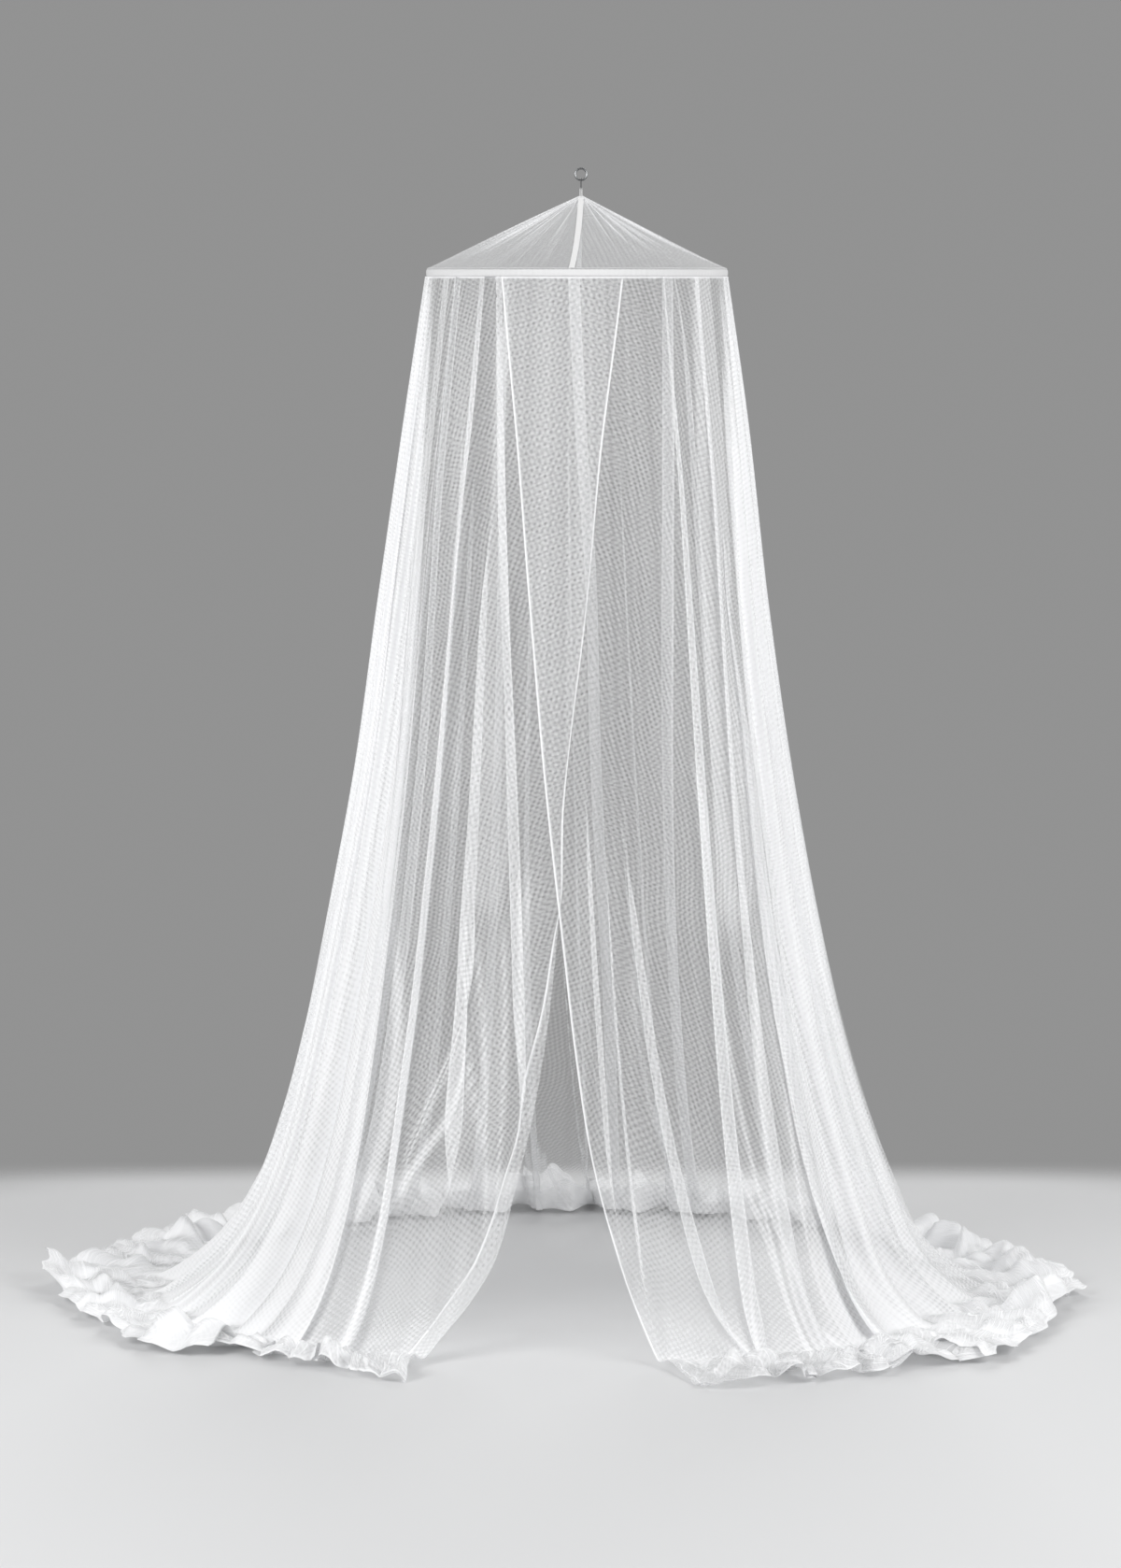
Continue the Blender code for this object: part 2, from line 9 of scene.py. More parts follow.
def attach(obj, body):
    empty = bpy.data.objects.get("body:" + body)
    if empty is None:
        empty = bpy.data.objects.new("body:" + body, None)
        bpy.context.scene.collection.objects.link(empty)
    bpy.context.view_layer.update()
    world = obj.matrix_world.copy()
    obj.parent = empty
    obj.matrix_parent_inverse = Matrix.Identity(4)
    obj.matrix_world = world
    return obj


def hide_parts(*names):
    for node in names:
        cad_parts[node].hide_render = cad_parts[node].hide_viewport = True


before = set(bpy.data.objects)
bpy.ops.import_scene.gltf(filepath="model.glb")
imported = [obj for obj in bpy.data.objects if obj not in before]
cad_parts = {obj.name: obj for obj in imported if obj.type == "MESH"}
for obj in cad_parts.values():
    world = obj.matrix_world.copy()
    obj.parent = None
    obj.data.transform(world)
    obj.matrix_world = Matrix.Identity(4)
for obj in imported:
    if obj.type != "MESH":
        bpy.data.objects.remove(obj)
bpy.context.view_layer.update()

bl_info = {
    "name": "Hanging mosquito net",
    "version": (1, 0, 0),
    "blender": (4, 5, 0),
    "location": "3D View > Sidebar > Net",
    "description": "Sheer net cone and skirt on a hoop, hung from a ring",
    "category": "Object",
}

# Places and sizes of the net, as in the solids, in metres, degrees and shares
FLOOR_Z = -2.295
HOOP_Z = -0.205
HOOP_X = -0.008
CASING_RADIUS = 0.303
CASING_HEIGHT = 0.015
GAP = 0.0003
NET = 0.0015
SKIRT_TOP_Z = HOOP_Z - CASING_HEIGHT / 2 - GAP
DROP = SKIRT_TOP_Z - FLOOR_Z - NET / 2
SIDE_POWER = 2.5
UNDERLAP = 0.010
UNDERLAP_ENDS = (1.36, 1.60)
UNDERLAP_ANGLES = (-48.0, -34.0)
TURN_BACK_STARTS = (1.12, 1.32)
TURN_ARC = 0.006
TURN_ARC_SHARES = (0.17, 0.34, 0.5, 0.67, 0.84, 1.0)
TURN_FLAT_SHARES = (0.12, 0.25, 0.37, 0.5, 0.62, 0.75, 0.84, 0.92, 1.0)
BACK_TAPE_WIDTH = 0.024
BACK_TAPE_OFFSET = 0.0022
BACK_TAPE_ROW = 0.985
SEAM_GAP = 0.0004
CONE_TIP_RADIUS = 0.0046
CONE_TIP_Z = -0.0525
CONE_SAG = 0.005
CONE_NET = 0.0012
CREASE_DEPTH = 0.005
FINE_CREASE_DEPTH = 0.0022
CREASE_LEAN = 0.004
SEAM_TAPE_WIDTH = 0.011
SEAM_TAPE_START_RADIUS = 0.014
CASING_DEPTH = 0.010
CONE_RIM_INSET = 0.001
SEAM_TAPE_RISE = 0.0016

# Seams of the cone: angle at the tip, and turn from there to the rim
CONE_SEAMS = {"front": (0.0, -2.2), "back": (180.0, -1.0)}

# Radius of the hanging skirt: drop, then left, right, front and back
SKIRT_RADII = (
    (0, 0.303, 0.303, 0.303, 0.303),
    (0.3, 0.347, 0.345, 0.335, 0.338),
    (0.65, 0.399, 0.386, 0.375, 0.38),
    (1, 0.45, 0.438, 0.415, 0.425),
    (1.3, 0.51, 0.495, 0.452, 0.47),
    (1.5, 0.554, 0.542, 0.478, 0.505),
    (1.7, 0.606, 0.603, 0.508, 0.545),
    (1.85, 0.662, 0.66, 0.533, 0.578),
    (1.98, 0.745, 0.72, 0.56, 0.612),
    (2.09, 0.86, 0.82, 0.59, 0.65),
)

# Drop, angle of the right panel's edge, of the left panel's fold line, and of the back seam
EDGES = (
    (0, -28.9, 16.1, 181),
    (0.3, -21, 7.9, 178.5),
    (0.65, -14.3, 1.7, 175.2),
    (1, -8.6, -4.3, 174.4),
    (1.3, -3.6, -5.7, 173.2),
    (1.5, -0.6, -8.2, 172.2),
    (1.7, 3, -12, 171.8),
    (1.9, 8.4, -17.2, 171.8),
    (2.09, 14.5, -27, 171.8),
    (2.4, 17.5, -25, 171.8),
)

# Width of the strip that the left panel turns inwards at its front edge: drop and width
TURN_WIDTHS = (
    (0, 0.008),
    (1.12, 0.008),
    (1.3, 0.014),
    (1.5, 0.025),
    (1.7, 0.033),
    (1.9, 0.044),
    (2.09, 0.044),
)

# Folds: angle at the hoop, at mid drop and at the floor, first and last drop, half width at the hoop and at
# the floor, depth
FOLDS = (
    (-38, -40, -42, 0, 2.09, 0.013, 0.024, 0.024),
    (-31, -18, -12.5, 0, 2.09, 0.015, 0.026, 0.017),
    (-28, -27, -24.5, 0.35, 2.09, 0.011, 0.024, 0.016),
    (-25, -26, -41, 1.05, 1.8, 0.012, 0.018, 0.012),
    (-53, -50, -50, 0, 2.09, 0.013, 0.026, 0.022),
    (2, 2, 10, 0.95, 2.09, 0.013, 0.024, 0.016),
    (13, 12, 30, 1, 2.09, 0.014, 0.026, 0.02),
    (32.5, 33.7, 33.2, 0, 2.09, 0.013, 0.027, 0.024),
    (49, 44, 40.5, 0, 2.09, 0.012, 0.024, 0.02),
    (55, 51, 55, 0.6, 2.09, 0.013, 0.028, 0.022),
    (118, 124, 128, 0, 2.09, 0.015, 0.03, 0.022),
    (142, 154, 156, 0, 2.09, 0.016, 0.028, 0.022),
    (-128, -134, -136, 0, 2.09, 0.016, 0.03, 0.022),
    (-152, -158, -160, 0, 2.09, 0.016, 0.028, 0.02),
)

# Gathers of the two sides: drop, half angle, depth
GATHERS = (
    (0, 22, 0.005),
    (0.3, 31, 0.017),
    (0.65, 37, 0.027),
    (1.3, 43, 0.038),
    (2.09, 45, 0.052),
)

# Angle from one gather to the next, angle over which they end, and height of the soft waves beside them
GATHER_PERIOD = 9.0
GATHER_EDGE = 10.0
CALM_WAVE = 0.0016

# Hem on the floor: angle and radius
HEM = (
    (-180, 0.87), (-150, 0.9), (-120, 0.975), (-105, 1.035), (-88, 1.085), (-74, 1.01),
    (-62, 0.965), (-48, 0.835), (-34, 0.785), (-15, 0.76), (15, 0.79), (30, 0.825),
    (45, 0.905), (60, 0.985), (75, 0.995), (92, 1.015), (105, 0.93), (120, 0.89),
    (150, 0.86), (180, 0.87),
)

# Wave of the hem, height of the large crumples on the floor, and how much of their waves stays flat
HEM_WAVE = 0.022
CRUMPLE = 0.050
CRUMPLE_LEAST = 0.22

# Rows of the skirt's grid: hanging, just above the floor (from which share of the drop), on the floor,
# and two more in the top seam
HANGING_ROWS = 76
FOOT_ROWS = 16
FOOT_FROM = (0.95, 0.955)
FLOOR_ROWS = 46
SEAM_ROWS = (0.0011, 0.0021)

# Columns of a panel in front, at its side and at the back, and the angles between which its side lies
PANEL_COLUMNS = (210, 280, 130)
SIDE_FROM = 48.0
SIDE_TO = 134.0

# Pressed pleats, three layers wide: angle at the hoop, at mid drop and at the floor, first and last drop,
# half width at the first drop and at the last, and which way the pleat lies
PLEATS = (
    (-38, -38.5, -39.5, 0, 2.2, 0.008, 0.022, 1),
    (-42.5, -42.5, -44, 0.2, 2.2, 0.004, 0.016, -1),
    (-31, -17.2, -10.5, 0, 1.78, 0.006, 0.015, -1),
    (-29.5, -28.5, -27, 0.4, 1.86, 0.004, 0.019, 1),
    (-26, -27, -42, 1.1, 1.85, 0.003, 0.004, 1),
    (-51, -49, -49, 0, 2.2, 0.006, 0.014, 1),
    (-58, -56, -55, 0, 2.2, 0.006, 0.018, -1),
    (1, 2.5, 11, 0.9, 2.2, 0.003, 0.009, 1),
    (6, 7, 15, 1.05, 2.2, 0.002, 0.005, -1),
    (13, 12, 29, 1, 2.2, 0.004, 0.016, 1),
    (32.5, 33.7, 33.2, 0, 2.2, 0.003, 0.02, -1),
    (49, 44, 44.5, 0, 2.2, 0.004, 0.01, 1),
    (55, 51, 55, 0.4, 2.2, 0.004, 0.02, -1),
    (142, 154, 156, 0, 2.2, 0.015, 0.012, 1),
    (135, 137, 138, 0, 2.2, 0.004, 0.012, -1),
    (166, 163, 161, 0.3, 2.2, 0.002, 0.006, 1),
    (-176, -179.5, -183, 0.2, 2.2, 0.002, 0.004, 1),
    (-128, -134, -136, 0, 2.2, 0.006, 0.014, 1),
    (-152, -158, -160, 0, 2.2, 0.006, 0.012, -1),
    (-141, -145, -147, 0.3, 2.2, 0.003, 0.01, 1),
    (-168, -166, -173, 0.5, 2.2, 0.003, 0.009, 1),
    (-163, -162, -171, 0.9, 2.2, 0.002, 0.005, -1),
    (184, 182, 171, 1.3, 2.2, 0.001, 0.004, 1),
    (188, 186, 177, 1.2, 2.2, 0.001, 0.004, -1),
    (166, 168, 158, 1.1, 2.2, 0.001, 0.005, -1),
)

# Half width of a pleat as a share of its reach, and how far its cloth slides
PLEAT_SHARE = 0.235
PLEAT_SLIDE = 0.8

# Where a pleat turns back, how wide its bright line is and where its middle ends, as shares of its reach
PLEAT_TURN = 0.24
PLEAT_LINE = 0.055
PLEAT_END = (0.36, 0.5)

# Layers that a pleat adds in its middle and on its turned edges
PLEAT_MIDDLE = 0.14
PLEAT_EDGE = 1.25

# Bands folded in the net: first and last drop, left and right edge (angle at the first drop, midway and at
# the last), layers inside and on the edges
BANDS = (
    (-0.12, 1.3, (48.5, 41, 38), (60, 54, 46), 0.7, 0.3),
    (0.05, 1.28, (-33, -27.5, -26), (-25.5, -22, -20.5), 0.45, 0.35),
    (0.02, 1.1, (-48, -44, -42), (-37, -35, -33), 0.22, 0.1),
    (0.9, 2.09, (30.5, 32.5, 32), (35.5, 38, 41), 0.25, 1.1),
    (1.2, 2.09, (43.5, 41, 42), (51, 48.5, 49), 0.25, 1.1),
    (1.7, 2.09, (37.5, 41.5, 42.5), (40, 44, 47), 0.35, 1.1),
    (1.8, 2.09, (50, 48.5, 49), (53, 57.5, 57.5), 0.4, 1),
    (1.2, 2.09, (-42, -42.5, -44.5), (-37, -37.5, -39), 0.25, 1.2),
    (1.2, 1.75, (-29, -26.5, -23.5), (-26, -24, -19), 0.3, 1),
    (1.2, 1.86, (-25.5, -21.5, -19.5), (-20.5, -18, -17), 0.3, 1),
    (1.1, 1.55, (-16, -13, -11.5), (-12, -11, -10), 0.25, 0.9),
    (1.3, 2.09, (157.5, 158.5, 155.5), (154.5, 157, 153.5), 0.2, 1),
)

# Single creases: first and last drop, angle at the first drop, midway and at the last, layers
CREASES = (
    (1.5, 2.09, (33.5, 38.5, 40.5), 1),
    (1.66, 2.09, (30, 32.5, 34.5), 0.9),
    (1.88, 2.09, (60.5, 61.5, 62.5), 1),
    (1.2, 2, (56.5, 52.5, 60), 1),
    (1.2, 2.02, (-28.5, -31.5, -43.5), 1.3),
    (1.1, 1.6, (-18, -15, -12.5), 1),
    (1.2, 2.09, (-51, -51, -51.5), 1),
    (1.2, 1.9, (-47.5, -45.5, -47.5), 1),
    (1.2, 2.09, (-56.5, -55.5, -57), 0.9),
    (1.55, 2.09, (204, 201, 194), 1.1),
    (1.8, 2.09, (189.5, 186.5, 180), 1.3),
    (1.82, 2.09, (190, 186.5, 176.5), 1.1),
    (1.84, 2.09, (189, 187.5, 186.5), 1),
    (1.78, 2.09, (199, 199, 196), 1),
    (1.96, 2.09, (169, 162, 155.5), 1.2),
    (1.45, 2.09, (166, 164, 157), 1.2),
    (1.3, 1.86, (174, 171, 169), 1),
)

# How wide a crease's line is, and how far the inside of a band fades
BAND_LINE = 0.0026
BAND_EDGE = 0.002

# How far the skirt's top edge goes up into the seam under the casing, and over which drop
SEAM_RISE = 0.0006
SEAM_RISE_DROP = 0.003

# Distances from the front edge over which its folds and its bands start
FOLDS_START = (0.006, 0.05)
BANDS_START = (0.006, 0.03)

# Waves of the cloth just above the floor, and the lift of its bend there
FOOT_WAVE = 0.007
FOOT_SPREAD = 0.012
FOOT_HEIGHT = 0.06
BEND_LIFT = 0.012
BEND_REACH = 0.03

# Heights and rolls of the crumples on the floor
RIDGE = 0.008
CROSS_RIDGE = 0.003
TIER = 0.022
LOBE = (0.027, 0.024)
LOBELET = (0.007, 0.008)

# Layers that the skirt seems to have: where it is plain, how many less at the front right, and gathered
PLAIN_LAYERS = 0.84
FRONT_RIGHT_LESS = 0.14
GATHERED_LAYERS = 5.0

# Angle and half width of the open part of the right side, and how much thinner it is
OPEN_SIDE = (92.0, 15.0)
OPEN_SIDE_LESS = 0.88

# Layers that tilt gives at most: hanging, near the floor and on the floor
TILT_LAYERS = 4.0
LOW_TILT_LAYERS = 1.8
FLOOR_TILT_LAYERS = 2.2

# How much more net shows on the floor, in pleats, in bands, in the low heap over the floor and its height,
# on the floor at the back, and in the bunch above it and its height
FLOOR_LAYERS = 1.15
PLEAT_LAYERS = 2.6
BAND_LAYERS = 2.2
HEAP_LAYERS = 0.8
HEAP_HEIGHT = 0.05
BACK_HEAP_LAYERS = 2.0
BUNCH_LAYERS = 3.0
BUNCH_HEIGHT = 0.060

# Rows over which the cloth turns onto the floor, and over which it settles there
FLOOR_TURN = (1.0, 1.08)
FLOOR_SETTLE = (1.0, 1.55)

# Drop from which the skirt flares out, how much thinner its gathers look there and once on the floor, and
# how much thinner all the net and its folds look on the floor
FLARE_DROP = 1.5
FLARE_THINNING = 0.45
SETTLED_THINNING = 0.30
FLOOR_THINNING = 0.42
FLOOR_FOLD_THINNING = 0.6

# Crumpled share of the net: just above the floor, more on the floor, and more in the bunch at the back
CRUMPLED = (0.08, 0.92, 0.5)

# Distances from the skirt's top over which its seam fades, and shares of a hem's width over which it fades
SEAM_HEM = (0.0015, 0.004)
HEM_FADE = (0.7, 1.4)

# Grids of the cone, its tapes, the back band and the sleeve: rows, then columns
CONE_GRID = (60, 480)
TAPE_GRID = (70, 9)
BAND_GRID = (160, 13)
SLEEVE_GRID = (25, 721)

# Cone: distances over which its doubled tip and rim fade, and its layers, in front and more at the sides
CONE_TIP_HEM = (0.012, 0.05)
CONE_RIM_HEM = (0.002, 0.004)
CONE_LAYERS = (1.2, 0.35)

# Depth of the puckers of the cone's tapes, layers of the back band and width of its hems
PUCKER = 0.00035
BACK_TAPE_LAYERS = 3.2
BACK_TAPE_HEM = 0.0022

# Sleeve: where it starts round the rod and how far it goes, in turns, its inset and its puckers
SLEEVE_START = 0.56
SLEEVE_TURN = 0.88
SLEEVE_INSET = (0.0005, 0.0002)
SLEEVE_PUCKERS = (0.00030, 0.00022)

# Light crease lines of the cone: angle, first and last share of the slope, half width in degrees, strength
CONE_LINES = (
    (-84, 0.05, 1, 1.3, 2.2),
    (-77, 0.1, 0.96, 1, 1.8),
    (-69, 0.08, 0.9, 0.8, 2),
    (-61, 0.15, 1, 0.7, 1.4),
    (-53, 0.1, 0.8, 0.6, 1.7),
    (-46, 0.35, 1, 0.5, 1.5),
    (-39, 0.12, 0.95, 0.5, 2),
    (-33, 0.45, 1, 0.5, 1.3),
    (-26, 0.15, 0.98, 0.5, 1.7),
    (-20, 0.5, 1, 0.5, 1.1),
    (-14, 0.3, 0.92, 0.5, 1.3),
    (12, 0.45, 0.8, 0.5, 0.8),
    (46, 0.55, 1, 0.5, 0.8),
    (58, 0.7, 1, 0.5, 1),
    (66, 0.06, 0.62, 0.7, 1.4),
    (75, 0.05, 0.85, 0.8, 2.1),
    (82, 0.05, 1, 1, 2.4),
    (-98, 0.1, 1, 1.1, 1.8),
    (-118, 0.2, 0.95, 0.8, 1.3),
    (-140, 0.3, 1, 0.8, 1),
    (104, 0.1, 0.95, 1, 1.7),
    (130, 0.25, 1, 0.8, 1),
)

# Stage: the round floor, where it fades, the camera and the lights
FLOOR_MIDDLE_Y = -1.15
FLOOR_RADIUS = 2.9
FLOOR_FADE = (2.3, 2.85)
FLOOR_BACK_FADE = (0.93, 1.20)
FLOOR_DROP = 0.001
CAMERA_DISTANCE = 8.0
SENSOR = 36.0
PHOTO_HEIGHT_PX = 1678.0
FOCAL_PX = 4229.0
AXIS_LEFT_PX = 17.5
AXIS_DOWN_PX = 547.0
WORLD_STRENGTH = 0.29
LIGHT_SIZE = 3.0
LIGHT_AIM = (0.0, 0.0, -1.2)

# Lights: name, place and power
LIGHTS = (
    ("lead", (-4.2, -3.6, 1.0), 256.0),
    ("fill", (4.3, -3.2, 0.8), 224.0),
    ("rear", (0.6, 5.2, 1.6), 150.0),
)

# Nets: opacity between the threads and on them, and strength of the ripple
NETS = {"sheer_net": (0.02, 0.72, 1.0), "cone_net": (0.10, 0.62, 0.55), "doubled_net": (0.05, 0.80, 0.30)}

# Thread's edge, share of thread in an even net, opacity of a hem, and span of most noise
THREAD_EDGE = (0.05, 0.42)
THREAD_SHARE = 0.4
HEM_OPACITY = 0.93
NOISE_SPAN = (0.3, 0.7)

# Crease lines: noise steps a metre across and down, divided by pi, layers they add, and width in the noise
LONG_CREASES = (4.6, 1.1, 3.0)
SHORT_CREASES = (2.4, 2.8, 0.8)
CREASE_WIDTH = 0.035

# Size of the weave, in metres
WEAVES = {"seam_tape": 0.0007, "casing_cloth": 0.0009, "white_tape": 0.0008, "coated_rod": 0.004}


class NetSizes(bpy.types.PropertyGroup):
    hem_width: bpy.props.FloatProperty(
        name="Hem width", description="Width of the turned hem", default=0.0045, unit="LENGTH"
    )
    pleat_layer: bpy.props.FloatProperty(
        name="Pleat layer", description="Space between the layers of a pleat", default=0.003, unit="LENGTH"
    )
    gather_depth: bpy.props.FloatProperty(
        name="Gather depth", description="Depth of the narrow side gathers", default=0.0055, unit="LENGTH"
    )
    mesh_pitch: bpy.props.FloatProperty(
        name="Mesh pitch", description="Distance between the net's threads", default=0.0022, unit="LENGTH"
    )


class NetLook(bpy.types.PropertyGroup):
    thread: bpy.props.FloatVectorProperty(
        name="Thread", description="Colour of the net's threads", size=3, subtype="COLOR",
        default=(0.90, 0.905, 0.915),
    )
    tape: bpy.props.FloatVectorProperty(
        name="Tape", description="Colour of the sewn tapes", size=3, subtype="COLOR",
        default=(0.92, 0.92, 0.92),
    )
    casing: bpy.props.FloatVectorProperty(
        name="Casing", description="Colour of the sleeve round the hoop", size=3, subtype="COLOR",
        default=(0.70, 0.70, 0.705),
    )
    steel: bpy.props.FloatVectorProperty(
        name="Steel", description="Colour of the ring", size=3, subtype="COLOR",
        default=(0.20, 0.205, 0.21),
    )


class StageLook(bpy.types.PropertyGroup):
    floor: bpy.props.FloatVectorProperty(
        name="Floor", description="Colour of the plain floor", size=3, subtype="COLOR",
        default=(0.65, 0.653, 0.658),
    )


def put(tree, place, value):
    """Links a socket to another one, or sets its value."""
    if isinstance(value, Sock):
        tree.links.new(value.socket, place)
    else:
        place.default_value = value


class Sock:
    """A shader socket that takes part in sums."""

    def __init__(self, tree, socket):
        self.tree = tree
        self.socket = socket

    def maths(self, operation, other=None, swap=False, clamp=False):
        node = self.tree.nodes.new("ShaderNodeMath")
        node.operation = operation
        node.use_clamp = clamp
        pair = [self] if other is None else ([other, self] if swap else [self, other])
        for place, value in zip(node.inputs, pair):
            put(self.tree, place, value)
        return Sock(self.tree, node.outputs[0])

    def __add__(self, other):
        return self.maths("ADD", other)

    def __sub__(self, other):
        return self.maths("SUBTRACT", other)

    def __rsub__(self, other):
        return self.maths("SUBTRACT", other, swap=True)

    def __mul__(self, other):
        return self.maths("MULTIPLY", other)

    __radd__ = __add__
    __rmul__ = __mul__

    def power(self, other):
        return self.maths("POWER", other)

    def clamped(self):
        return self.maths("ADD", 0.0, clamp=True)


class Maker:
    """Makes nodes in one material."""

    def __init__(self, name):
        self.material = bpy.data.materials.new(name)
        self.material.use_nodes = True
        self.tree = self.material.node_tree
        self.shader = self.tree.nodes["Principled BSDF"]

    def node(self, kind, settings=None, out=0, **sockets):
        """A node with its settings and sockets, as one of its outputs."""
        made = self.tree.nodes.new(kind)
        for name, value in (settings or {}).items():
            setattr(made, name, value)
        for name, value in sockets.items():
            put(self.tree, made.inputs[name.replace("_", " ")], value)
        return Sock(self.tree, made.outputs[out])

    def feed(self, name, value):
        """Gives one input of the surface its value."""
        put(self.tree, self.shader.inputs[name], value)

    def place(self):
        """Object coordinates."""
        return self.node("ShaderNodeTexCoord", out=3)

    def attribute(self, name):
        return self.node("ShaderNodeAttribute", {"attribute_name": name}, out=2)

    def noise(self, place, scale, detail, dimensions="3D", distortion=0.0):
        settings = {"noise_dimensions": dimensions}
        numbers = {"Scale": scale, "Detail": detail, "Distortion": distortion}
        return self.node("ShaderNodeTexNoise", settings, Vector=place, **numbers)

    def parts(self, vector):
        """The three numbers of a vector."""
        made = self.tree.nodes.new("ShaderNodeSeparateXYZ")
        put(self.tree, made.inputs[0], vector)
        return [Sock(self.tree, socket) for socket in made.outputs]

    def ramp(self, value, low, high, to_low=0.0, to_high=1.0):
        """Smooth step from to_low at low to to_high at high."""
        numbers = {"From_Min": low, "From_Max": high, "To_Min": to_low, "To_Max": to_high}
        settings = {"interpolation_type": "SMOOTHSTEP"}
        return self.node("ShaderNodeMapRange", settings, Value=value, **numbers)

    def blend(self, share, first, second):
        """Colour between two colours."""
        made = self.tree.nodes.new("ShaderNodeMix")
        made.data_type = "RGBA"
        for place, value in zip((0, 6, 7), (share, (*first, 1.0), (*second, 1.0))):
            put(self.tree, made.inputs[place], value)
        return Sock(self.tree, made.outputs[2])


def smooth_curve(x, points, column):
    """Value at x of a smooth curve through one column of a table, whose first column holds x."""
    table = np.array(points)
    xs = table[:, 0]
    ys = table[:, column]
    slopes = np.gradient(ys, xs)
    x = np.clip(x, xs[0], xs[-1])
    i = np.clip(np.searchsorted(xs, x, side="right") - 1, 0, len(xs) - 2)
    span = xs[i + 1] - xs[i]
    t = (x - xs[i]) / span
    start = ys[i] * (1 + 2 * t) * (1 - t) ** 2 + slopes[i] * span * t * (1 - t) ** 2
    end = ys[i + 1] * t * t * (3 - 2 * t) - slopes[i + 1] * span * t * t * (1 - t)
    return start + end


def ease(x, low, high):
    """0 below low, 1 above high and smooth between them."""
    t = np.clip((x - low) / (high - low), 0.0, 1.0)
    return t * t * (3 - 2 * t)


def signed(angle):
    """The angle brought to between -180 and 180 degrees."""
    return (np.asarray(angle) + 180.0) % 360.0 - 180.0


def along_three(share, top, middle, floor):
    """Smooth value through three others, at shares 0, one half and 1."""
    value = (1 - share) * (1 - 2 * share) * top + 4 * share * (1 - share) * middle
    return value + share * (2 * share - 1) * floor


def skirt_radius(angle, drop):
    """Radius of the skirt without its folds."""
    a = np.radians(angle)
    side = np.where(np.sin(a) < 0, smooth_curve(drop, SKIRT_RADII, 1), smooth_curve(drop, SKIRT_RADII, 2))
    middle = np.where(np.cos(a) > 0, smooth_curve(drop, SKIRT_RADII, 3), smooth_curve(drop, SKIRT_RADII, 4))
    return middle + (side - middle) * np.abs(np.sin(a)) ** SIDE_POWER


def gathered_share(angle, drop):
    """1 in the closely gathered sides and 0 elsewhere."""
    half = smooth_curve(drop, GATHERS, 1)
    return 1 - ease(np.abs(np.abs(signed(angle)) - 90.0), half - GATHER_EDGE, half)


def fold_height(angle, drop):
    """How far the folds stand out of the plain skirt, or go into it."""
    angle = signed(angle)
    radius = skirt_radius(angle, drop)
    share = np.clip(drop / SKIRT_RADII[-1][0], 0.0, 1.0)
    height = 0.0 * radius
    for top, middle, floor, start, end, top_width, floor_width, depth in FOLDS:
        centre = along_three(share, top, middle, floor)
        width = top_width + (floor_width - top_width) * share
        across = radius * np.radians(signed(angle - centre)) / width
        shown = 0.35 + 0.65 * ease(drop, 0.0, 0.5) if start == 0 else ease(drop, start, start + 0.35)
        if end < SKIRT_RADII[-1][0]:
            shown = shown * (1 - ease(drop, end - 0.3, end))
        height = height + depth * shown * np.exp(-across * across)
    depth = smooth_curve(drop, GATHERS, 2)
    turn = 360.0 / GATHER_PERIOD
    phase = np.radians(angle * turn) + 0.9 * np.sin(np.radians(3.1 * angle) + 1.3 * drop)
    wave = 0.5 - 0.5 * np.sin(phase + 0.5 * np.sign(angle))
    uneven = 0.72 + 0.28 * np.sin(np.radians(11.0 * angle) + 0.7)
    return height - depth * gathered_share(angle, drop) * wave * uneven


def floor_lift(angle, out):
    """Height of the crumples above the flat floor cloth."""
    a = np.radians(signed(angle))
    wave = np.sin(13.0 * a + 1.1 + 2.4 * out) + 0.8 * np.sin(21.0 * a - 3.3 * out + 0.4)
    rolls = np.cos(2 * math.pi * 1.6 * out + 2.0 * np.sin(3.0 * a + 0.5))
    lift = 0.45 * wave * (0.4 + 0.6 * out) + 0.45 * rolls - CRUMPLE_LEAST
    grown = ease(out, 0.0, 0.35)
    wide = 0.45 + 0.55 * np.abs(np.sin(a)) + 0.4 * ease(-np.cos(a), 0.2, 0.9)
    return CRUMPLE * grown * wide * np.maximum(lift, 0.0)


def pleat_shift(angle, drop, layer):
    """Moves into the pleats, sideways and out (metres), the layers that show, and the pleated share."""
    angle = signed(angle)
    radius = skirt_radius(angle, drop)
    share = np.clip(drop / SKIRT_RADII[-1][0], 0.0, 1.0)
    sideways = 0.0 * radius
    outward = 0.0 * radius
    layers = 0.0 * radius
    spread = 0.0 * radius
    for top, middle, floor, start, end, first_half, last_half, lies in PLEATS:
        centre = along_three(share, top, middle, floor)
        grown = np.clip((drop - start) / (end - start), 0.0, 1.0)
        half = first_half + (last_half - first_half) * grown
        shown = ease(drop, start - 0.001, start + 0.25) if start > 0 else 1.0
        if end < SKIRT_RADII[-1][0]:
            shown = shown * (1 - ease(drop, end - 0.25, end))
        reach = half / PLEAT_SHARE
        b = radius * np.radians(signed(angle - centre)) / reach
        window = np.where(np.abs(b) < 1, np.cos(math.pi / 2 * np.clip(b, -1, 1)) ** 2, 0.0)
        sine = np.sin(math.pi * np.clip(b, -1, 1))
        sideways = sideways - PLEAT_SLIDE * reach * sine * window * shown
        outward = outward - lies * layer * sine * shown * np.where(np.abs(b) < 1, 1.0, 0.0)
        turned = np.exp(-(((np.abs(b) - PLEAT_TURN) / PLEAT_LINE) ** 2)) * shown
        inside = (1 - ease(np.abs(b), *PLEAT_END)) * shown * PLEAT_MIDDLE
        layers = np.maximum(layers, inside + PLEAT_EDGE * turned)
        spread = np.maximum(spread, window * shown)
    return sideways, outward, layers, spread


